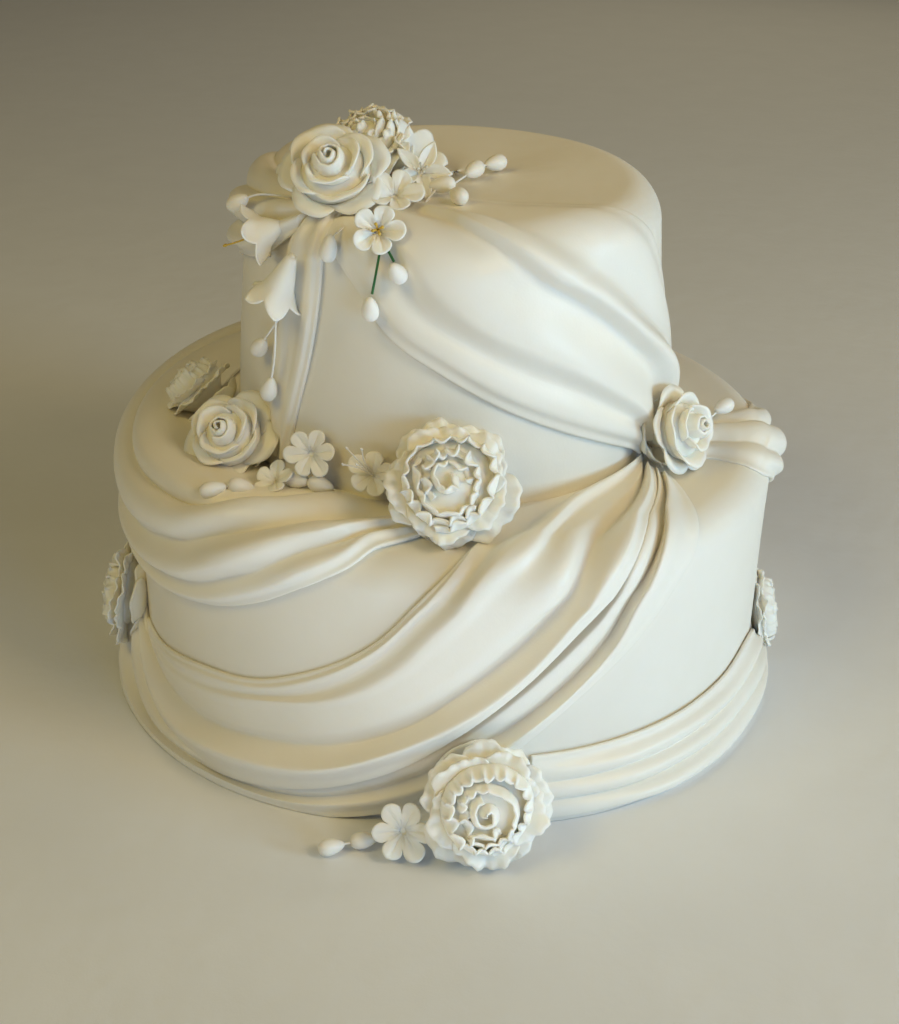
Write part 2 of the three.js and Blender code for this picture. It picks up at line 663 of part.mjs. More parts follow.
// Every piece in the order it is laid. A later piece is cut back from those before it.
const pieces = [
  ['lower_tier', ICING, (grow) => tierGeometry(LOWER, grow)],
  ['upper_tier', ICING, (grow) => tierGeometry(UPPER, grow)],
  ['crown_swag', SWAG, (grow) => swagGeometry(CROWN_SWAG, grow)],
  ['rear_swag', SWAG, (grow) => swagGeometry(REAR_SWAG, grow)],
  ['hanging_tail', SWAG, (grow) => swagGeometry(TAIL, grow)],
  ['main_swag', SWAG, (grow) => swagGeometry(MAIN_SWAG, grow)],
  ['under_swag', SWAG, (grow) => swagGeometry(UNDER_SWAG, grow)],
  ['shoulder_swag', SWAG, (grow) => swagGeometry(SHOULDER_SWAG, grow)],
  ['side_swag', SWAG, (grow) => swagGeometry(SIDE_SWAG, grow)],
];
for (const [name, ends] of Object.entries(FOOT_SWAGS)) {
  pieces.push([name, SWAG, (grow) => swagGeometry(footSwag(ends), grow)]);
}
for (const [name, { form, place }] of Object.entries(ROSES)) {
  pieces.push([name, PETAL, (grow) => pose(roseGeometry(form, grow), place)]);
}
for (const [name, { form, place }] of Object.entries(BLOSSOMS)) {
  pieces.push([name, PETAL, (grow) => pose(blossomGeometry(form, grow), place)]);
}
for (const [name, { form, place }] of Object.entries(TRUMPETS)) {
  pieces.push([name, PETAL, (grow) => pose(trumpetGeometry(form, grow), place)]);
}
for (const [name, spray] of Object.entries(SPRAYS)) {
  pieces.push([name, BUD, (grow) => sprayGeometry(spray, grow)]);
}
for (const [name, place] of Object.entries(WIRED_BUDS)) {
  pieces.push([name, BUD, (grow) => pose(budGeometry(11, 3.4, grow), place)]);
}
for (const [name, points] of Object.entries(GREEN_WIRES)) {
  pieces.push([name, WIRE, (grow) => wireGeometry(points, 0.6 + grow)]);
}

// The surface that the cake stands on, as a slab under it: nothing reaches below the base.
const SLAB = 40;
const ground = toSolid(closed(
  new THREE.BoxGeometry(6 * LOWER.radius, 6 * LOWER.radius, SLAB).translate(0, 0, -SLAB / 2),
));

const cake = new THREE.Group();
const laid = [];
for (const [name, material, make] of pieces) {
  const raw = make(0);
  raw.computeBoundingBox();
  let solid = toSolid(raw);
  if (raw.boundingBox.min.z < 0) solid = solid.subtract(ground);
  for (const other of laid) {
    if (raw.boundingBox.intersectsBox(other.box)) solid = solid.subtract(other.solid);
  }
  cake.add(new THREE.Mesh(largestBody(toGeometry(solid)), material));
  cake.children.at(-1).name = name;
  const grown = make(GAP);
  grown.computeBoundingBox();
  laid.push({ box: grown.boundingBox, solid: toSolid(grown) });
}

export default cake;
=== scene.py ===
"""A two-tier wedding cake in smooth ivory icing, with draped icing swags and sugar flowers."""

import math

import bpy
import numpy as np
from mathutils import Matrix, Vector


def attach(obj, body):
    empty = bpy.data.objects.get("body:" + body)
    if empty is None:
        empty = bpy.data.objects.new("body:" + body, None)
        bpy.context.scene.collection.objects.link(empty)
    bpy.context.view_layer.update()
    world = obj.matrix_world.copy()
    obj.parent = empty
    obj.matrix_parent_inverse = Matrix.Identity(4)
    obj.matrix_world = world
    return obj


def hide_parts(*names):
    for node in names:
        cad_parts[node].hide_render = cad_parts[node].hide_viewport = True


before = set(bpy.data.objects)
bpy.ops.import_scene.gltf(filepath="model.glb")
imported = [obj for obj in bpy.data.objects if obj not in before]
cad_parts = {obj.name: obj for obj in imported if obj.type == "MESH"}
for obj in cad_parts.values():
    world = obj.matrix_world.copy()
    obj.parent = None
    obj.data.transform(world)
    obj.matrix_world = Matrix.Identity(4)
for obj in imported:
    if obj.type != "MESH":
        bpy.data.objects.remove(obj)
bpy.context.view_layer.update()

MM = 0.001  # a millimetre in scene units; every form below is built in millimetres
ANY_PHASE = 6.3  # random phases are drawn up to this, a full turn in radians

# The two tiers: taper is how much narrower the wall is at its top, centre the place of the axis along X.
LOWER = {"radius": 152, "height": 126.5, "round": 14, "taper": 0, "base": 0, "centre": 0}
UPPER = {"radius": 101, "height": 117, "round": 17, "taper": 8, "base": 126.8, "centre": -2.5}


# ---- meshes


class Form:
    """Points and faces of one piece, in millimetres, gathered part by part."""

    def __init__(self):
        self.points = []
        self.faces = []
        self.count = 0

    def add(self, points, faces):
        flat = np.asarray(points, float).reshape(-1, 3)
        self.points.append(flat)
        self.faces.extend([[corner + self.count for corner in face] for face in faces])
        self.count += len(flat)

    def posed(self, at, facing, spin=0.0):
        """The form turned from +Z to its facing and moved to its place."""
        turn = Vector((0, 0, 1)).rotation_difference(Vector(facing)).to_matrix()
        matrix = np.array(turn @ Matrix.Rotation(math.radians(spin), 3, "Z"))
        self.points = [points @ matrix.T + np.array(at) for points in self.points]
        return self


def grid_faces(rows, columns, wrap=False, start=0, flip=False):
    """Quads of a grid of points, rows by columns, closed round in columns where it wraps."""
    faces = []
    for i in range(rows - 1):
        for j in range(columns if wrap else columns - 1):
            k = (j + 1) % columns
            quad = [i * columns + j, (i + 1) * columns + j, (i + 1) * columns + k, i * columns + k]
            faces.append([start + corner for corner in (quad[::-1] if flip else quad)])
    return faces


def grid_normals(grid, wrap):
    """Unit normals at the points of a grid."""
    down = np.gradient(grid, axis=0)
    if wrap:
        across = np.roll(grid, -1, axis=1) - np.roll(grid, 1, axis=1)
    else:
        across = np.gradient(grid, axis=1)
    normal = np.cross(down, across)
    length = np.linalg.norm(normal, axis=-1, keepdims=True)
    return normal / np.maximum(length, 1e-9)


def shell(form, grid, thickness, wrap=False):
    """Adds a thin closed sheet round a grid of points, thickness given for each point."""
    rows, columns = grid.shape[:2]
    offset = grid_normals(grid, wrap) * (thickness / 2)[..., None]
    under = rows * columns
    faces = grid_faces(rows, columns, wrap)
    faces += grid_faces(rows, columns, wrap, under, flip=True)
    last = (rows - 1) * columns
    for j in range(columns if wrap else columns - 1):
        k = (j + 1) % columns
        faces.append([k, under + k, under + j, j])
        faces.append([last + j, last + under + j, last + under + k, last + k])
    if not wrap:
        for i in range(rows - 1):
            a, b = i * columns, (i + 1) * columns
            faces.append([a, under + a, under + b, b])
            faces.append([b - 1 + columns, under + b - 1 + columns, under + b - 1, b - 1])
    form.add(np.concatenate([(grid + offset).reshape(-1, 3), (grid - offset).reshape(-1, 3)]), faces)


def turned(form, profile, sides):
    """Adds a closed turned form from [radius, height] pairs, whose first and last are on the axis."""
    profile = np.asarray(profile, float)
    angle = np.linspace(0, 2 * np.pi, sides, endpoint=False)
    ring = profile[1:-1]
    radius = np.repeat(ring[:, :1], sides, axis=1)
    height = np.repeat(ring[:, 1:], sides, axis=1)
    grid = np.stack([radius * np.cos(angle), radius * np.sin(angle), height], -1)
    rows = len(ring)
    faces = grid_faces(rows, sides, wrap=True)
    first, last = rows * sides, rows * sides + 1
    for j in range(sides):
        k = (j + 1) % sides
        faces.append([first, j, k])
        faces.append([last, (rows - 1) * sides + k, (rows - 1) * sides + j])
    caps = [[0, 0, profile[0, 1]], [0, 0, profile[-1, 1]]]
    form.add(np.concatenate([grid.reshape(-1, 3), caps]), faces)


TUBE_STEPS = 8  # steps between two points of a wire's route
TUBE_SIDES = 8
ASKEW = [0.31, 0.77, 0.56]  # a direction that no wire runs along


def tube(form, route, radius):
    """Adds a round wire along a smooth route, closed at both ends."""
    route = smooth_route(route, TUBE_STEPS)
    ahead = np.gradient(route, axis=0)
    ahead /= np.linalg.norm(ahead, axis=1, keepdims=True)
    side = np.cross(ahead, ASKEW)
    side /= np.linalg.norm(side, axis=1, keepdims=True)
    other = np.cross(ahead, side)
    angle = np.linspace(0, 2 * np.pi, TUBE_SIDES, endpoint=False)
    ring = side[:, None] * np.cos(angle)[None, :, None] + other[:, None] * np.sin(angle)[None, :, None]
    grid = route[:, None] + ring * radius
    rows = len(route)
    faces = grid_faces(rows, TUBE_SIDES, wrap=True)
    faces.append(list(range(TUBE_SIDES)))
    faces.append([(rows - 1) * TUBE_SIDES + j for j in reversed(range(TUBE_SIDES))])
    form.add(grid, faces)


def smooth_route(points, steps):
    """A smooth line through a few points."""
    points = np.asarray(points, float)
    share = np.linspace(0, 1, steps * (len(points) - 1) + 1)
    return np.stack([along(points[:, axis], share) for axis in range(3)], -1)


def add_piece(name, form, material, nodes):
    """Makes the Blender object of a form, which stands for its CAD nodes and rides on the cake."""
    mesh = bpy.data.meshes.new(name)
    mesh.from_pydata((np.concatenate(form.points) * MM).tolist(), [], form.faces)
    mesh.validate()
    mesh.polygons.foreach_set("use_smooth", [True] * len(mesh.polygons))
    mesh.update()
    mesh.materials.append(material)
    piece = bpy.data.objects.new(name, mesh)
    bpy.context.scene.collection.objects.link(piece)
    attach(piece, "root")
    if nodes:
        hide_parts(*nodes)


# ---- places over the icing


def skin(tier, azimuth, path, lift):
    """Points over a tier's icing: azimuth in degrees from the front, path over it, lift off it."""
    wall = tier["height"] - tier["round"]
    shoulder = tier["radius"] - tier["taper"] - tier["round"]
    tilt = np.clip((path - wall) / tier["round"], 0, np.pi / 2)
    inward = np.maximum(0, path - wall - tier["round"] * np.pi / 2)
    slope = tier["taper"] * (1 - np.minimum(1, path / wall))
    reach = shoulder + slope + (tier["round"] + lift) * np.cos(tilt) - inward
    rise = np.minimum(path, wall) + (tier["round"] + lift) * np.sin(tilt)
    turn = np.radians(azimuth)
    across = tier["centre"] + reach * np.sin(turn)
    return np.stack([across, -reach * np.cos(turn), tier["base"] + rise], -1)


def along(values, share):
    """Smooth values at shares of the way along a row of equally spaced values."""
    row = np.asarray(values, float)
    last = len(row) - 1
    place = np.clip(share, 0, 1) * last
    at = np.minimum(place.astype(int), last - 1)
    w = place - at
    before, start, end = row[np.maximum(at - 1, 0)], row[at], row[at + 1]
    after = row[np.minimum(at + 2, last)]
    slope_in, slope_out = (end - before) / 2, (after - start) / 2
    cubic = 2 * start - 2 * end + slope_in + slope_out
    square = -3 * start + 3 * end - 2 * slope_in - slope_out
    return ((cubic * w + square) * w + slope_in) * w + start


def direction(azimuth, elevation):
    """The unit vector towards an azimuth from the front and an elevation, both in degrees."""
    turn, climb = math.radians(azimuth), math.radians(elevation)
    return [math.cos(climb) * math.sin(turn), -math.cos(climb) * math.cos(turn), math.sin(climb)]


DRIFT_WAVES = 5  # waves that a hand's drift is made of


def wander(share, seed, size):
    """A slow uneven drift along a row of shares, as of icing worked by hand."""
    rng = np.random.default_rng(seed)
    drift = np.zeros_like(share)
    for wave in range(1, DRIFT_WAVES + 1):
        drift += rng.normal() / wave * np.sin(2 * np.pi * (wave * share * 0.9 + rng.random()))
    return size * drift


# ---- materials


# Scale and detail of each noise in the icing, and strength and depth in metres of the two that are bumps.
CLOUD = (22, 3)
DENTS, DENTS_BUMP = (60, 2), (0.35, 0.0012)
POWDER, POWDER_BUMP = (900, 4), (0.25, 0.0002)


def noise(tree, place, scale, detail):
    """A noise in the space of the object."""
    texture = tree.nodes.new("ShaderNodeTexNoise")
    texture.inputs["Scale"].default_value = scale
    texture.inputs["Detail"].default_value = detail
    tree.links.new(place.outputs["Object"], texture.inputs["Vector"])
    return texture.outputs["Fac"]


def bump(tree, height, strength, distance):
    """A bump of the surface by a height."""
    node = tree.nodes.new("ShaderNodeBump")
    node.inputs["Strength"].default_value = strength
    node.inputs["Distance"].default_value = distance
    tree.links.new(height, node.inputs["Height"])
    return node


def icing_material(name, colour, shade, roughness, subsurface):
    """Satin sugar icing: a faint cloudy change of colour, a fine powdery grain and soft light in it."""
    material = bpy.data.materials.new(name)
    material.use_nodes = True
    tree = material.node_tree
    shader = tree.nodes["Principled BSDF"]
    place = tree.nodes.new("ShaderNodeTexCoord")
    blend = tree.nodes.new("ShaderNodeValToRGB")
    blend.color_ramp.elements[0].position = 0.3
    blend.color_ramp.elements[1].position = 0.7
    blend.color_ramp.elements[0].color = (*shade, 1)
    blend.color_ramp.elements[1].color = (*colour, 1)
    tree.links.new(noise(tree, place, *CLOUD), blend.inputs["Fac"])
    tree.links.new(blend.outputs["Color"], shader.inputs["Base Color"])
    dents = bump(tree, noise(tree, place, *DENTS), *DENTS_BUMP)
    powder = bump(tree, noise(tree, place, *POWDER), *POWDER_BUMP)
    tree.links.new(dents.outputs["Normal"], powder.inputs["Normal"])
    tree.links.new(powder.outputs["Normal"], shader.inputs["Normal"])
    shader.inputs["Roughness"].default_value = roughness
    shader.inputs["Subsurface Weight"].default_value = subsurface
    shader.inputs["Subsurface Radius"].default_value = (0.006, 0.0045, 0.003)
    shader.inputs["Subsurface Scale"].default_value = 0.5
    shader.inputs["Specular IOR Level"].default_value = 0.42
    return material


ICING = icing_material("tier_icing", (0.85, 0.815, 0.73), (0.825, 0.785, 0.69), 0.5, 0.12)
SWAG = icing_material("swag_icing", (0.88, 0.845, 0.76), (0.855, 0.815, 0.72), 0.4, 0.12)
PETAL = icing_material("petal_icing", (0.95, 0.915, 0.82), (0.93, 0.885, 0.775), 0.5, 0.35)
BUD = icing_material("bud_icing", (0.9, 0.87, 0.8), (0.88, 0.845, 0.77), 0.36, 0.2)
WIRE = icing_material("green_wire", (0.03, 0.16, 0.04), (0.02, 0.11, 0.03), 0.45, 0.0)
THREAD = icing_material("white_wire", (0.8, 0.76, 0.66), (0.72, 0.68, 0.58), 0.5, 0.0)
STAMEN = icing_material("stamen", (0.72, 0.5, 0.08), (0.6, 0.38, 0.05), 0.5, 0.0)


# ---- tiers

FLAT_ROWS = 26  # rows of points up a tier's wall, and again over its top
EDGE_ROWS = 15  # rows of points over its rounded edge
TIER_COLUMNS = 240
TIER_WAVES = 5
UNEVEN = 0.16  # height of each wave in a tier's icing
EVEN_FOOT = 12  # path over which the waves fade out towards the foot


def tier_form(tier, seed):
    """A tier's smooth icing, very slightly uneven round its wall and over its top."""
    wall = tier["height"] - tier["round"]
    edge = tier["round"] * np.pi / 2
    full = wall + edge + tier["radius"] - tier["taper"] - tier["round"] - 1
    paths = np.concatenate([np.linspace(0, wall, FLAT_ROWS), wall + np.linspace(0, edge, EDGE_ROWS)[1:]])
    paths = np.concatenate([paths, np.linspace(wall + edge, full, FLAT_ROWS)[1:]])
    azimuth = np.linspace(-180, 180, TIER_COLUMNS, endpoint=False)
    path, turn = np.meshgrid(paths, azimuth, indexing="ij")
    rng = np.random.default_rng(seed)
    lift = np.zeros_like(path)
    for wave in range(1, TIER_WAVES + 1):
        around = np.radians(wave * turn) + rng.random() * ANY_PHASE
        lift += UNEVEN * np.sin(around + path / (18 + 9 * rng.random()))
    points = skin(tier, turn, path, lift * np.clip(path / EVEN_FOOT, 0, 1))
    form = Form()
    rows, columns = points.shape[:2]
    faces = grid_faces(rows, columns, wrap=True, flip=True)
    faces.append([(rows - 1) * columns + j for j in range(columns)][::-1])
    faces.append(list(range(columns)))
    form.add(points, faces)
    return form


# ---- swags

STATIONS = 200  # places along a swag
ARC = 9  # facets of a fold between two of its lines
LIP = 2.2  # thickness of a swag's rolled icing at its edge
LIP_STEPS = 6
BURIED = 1.5  # how far a swag's edge reaches into the icing under it
BOARD_GAP = 0.3  # least height of a swag over what the cake stands on
DRIFT = 0.35  # how far a fold line strays, in millimetres
LIFT_DRIFT = 0.03  # how much a fold's height strays, as a share of it
LIFT_SEED = 50


def fold_arc(start, end, first, second):
    """Points from one fold line to the next, in across and lift, between two handles."""
    t = np.linspace(0, 1, ARC, endpoint=False)[None, :, None]
    start, end, first, second = (v[:, None, :] for v in (start, end, first, second))
    arc = (1 - t) ** 3 * start + 3 * (1 - t) ** 2 * t * first
    return arc + 3 * (1 - t) * t**2 * second + t**3 * end


def handle(line, reach):
    """The handle of a fold line towards a neighbour, reach away: level at a crest, steep at a crease."""
    level = reach * [1, 1, 0]
    upright = reach * [0, 0, 1]
    crease = line.get("crease", 0.0)
    if crease:
        return level * 0.45 * (1 - crease) + upright * 0.75 * crease
    return level * line.get("full", 0.52)


def edge_lip(edge, neighbour):
    """The rounded lip of a swag's edge, from its face down and under to the icing."""
    outward = (edge - neighbour) * [1, 1, 0]
    outward /= np.maximum(np.linalg.norm(outward, axis=1, keepdims=True), 1e-6)
    lift = edge[:, 2:]
    foot = edge * [1, 1, 0]
    upright = np.array([[0, 0, 1]])
    thick = np.minimum(LIP, lift)
    points = []
    for angle in np.linspace(0, np.pi, LIP_STEPS)[1:]:
        bulge = outward * thick / 2 * np.sin(angle)
        points.append(foot + bulge + upright * (lift - thick / 2 * (1 - np.cos(angle))))
    spare = lift - thick
    points.append(foot - outward * (0.8 * spare + 0.3) + upright * (0.3 * spare - 0.2))
    points.append(foot - outward * (0.9 * spare + 0.5) - upright * BURIED)
    return np.stack(points, 1)


def line_points(swag, line, u):
    """A fold line's azimuths and paths: its own, or a share of the way across the swag."""
    if "azimuth" in line:
        return np.stack([along(line["azimuth"], u), along(line["path"], u)], -1)
    upper = np.stack([along([place[i] for place in swag["upper"]], u) for i in (0, 1)], -1)
    lower = np.stack([along([place[i] for place in swag["lower"]], u) for i in (0, 1)], -1)
    return upper + (lower - upper) * along(line["across"], u)[:, None]


def swag_grid(swag, seed):
    """A swag's points, stations by places across it, lofted through its fold lines."""
    folds = swag["folds"]
    u = np.linspace(0, 1, STATIONS)
    a_degree = math.radians(swag["tier"]["radius"])  # length of a degree round the tier's wall
    lines = []
    for k, line in enumerate(folds):
        place = line_points(swag, line, u) * [a_degree, 1]
        drift = wander(u, seed + k, DRIFT) if 0 < k < len(folds) - 1 else 0 * u
        lift = along(line["lift"], u) * (1 + wander(u, seed + LIFT_SEED + k, LIFT_DRIFT))
        lines.append(np.stack([place[:, 0], place[:, 1] + drift, lift], -1))
    parts = [edge_lip(lines[0], lines[1])[:, ::-1]]
    for k in range(len(lines) - 1):
        start, end = lines[k], lines[k + 1]
        first = start + handle(folds[k], end - start)
        second = end - handle(folds[k + 1], end - start)
        parts.append(fold_arc(start, end, first, second))
    parts.append(lines[-1][:, None])
    parts.append(edge_lip(lines[-1], lines[-2]))
    section = np.concatenate(parts, 1)
    return skin(swag["tier"], section[..., 0] / a_degree, section[..., 1], section[..., 2])


def swag_form(swag, seed):
    """A swag as one sheet with its edges tucked into the icing, closed off at its two ends."""
    grid = swag_grid(swag, seed)
    grid[..., 2] = np.maximum(grid[..., 2], BOARD_GAP)
    rows, columns = grid.shape[:2]
    form = Form()
    faces = grid_faces(rows, columns)
    faces.append(list(range(columns)))
    faces.append([(rows - 1) * columns + j for j in range(columns)][::-1])
    form.add(grid, faces)
    return form


def crest(across, lift):
    """A rounded fold line by its shares of the way across the swag and its lifts."""
    return {"across": across, "lift": lift}


def valley(across, lift):
    """A creased fold line by its shares of the way across the swag and its lifts."""
    return {"across": across, "lift": lift, "crease": 0.6}


def fold(azimuth, path, lift, **more):
    """A fold line along a swag by its own azimuths, paths and lifts, fuller or creased where it says so."""
    return {"azimuth": azimuth, "path": path, "lift": lift, **more}


def draped(tier, *folds, **edges):
    """A swag over a tier: its fold lines from one edge to the other, and the edges that shares need."""
    return {"tier": tier, "folds": folds, **edges}


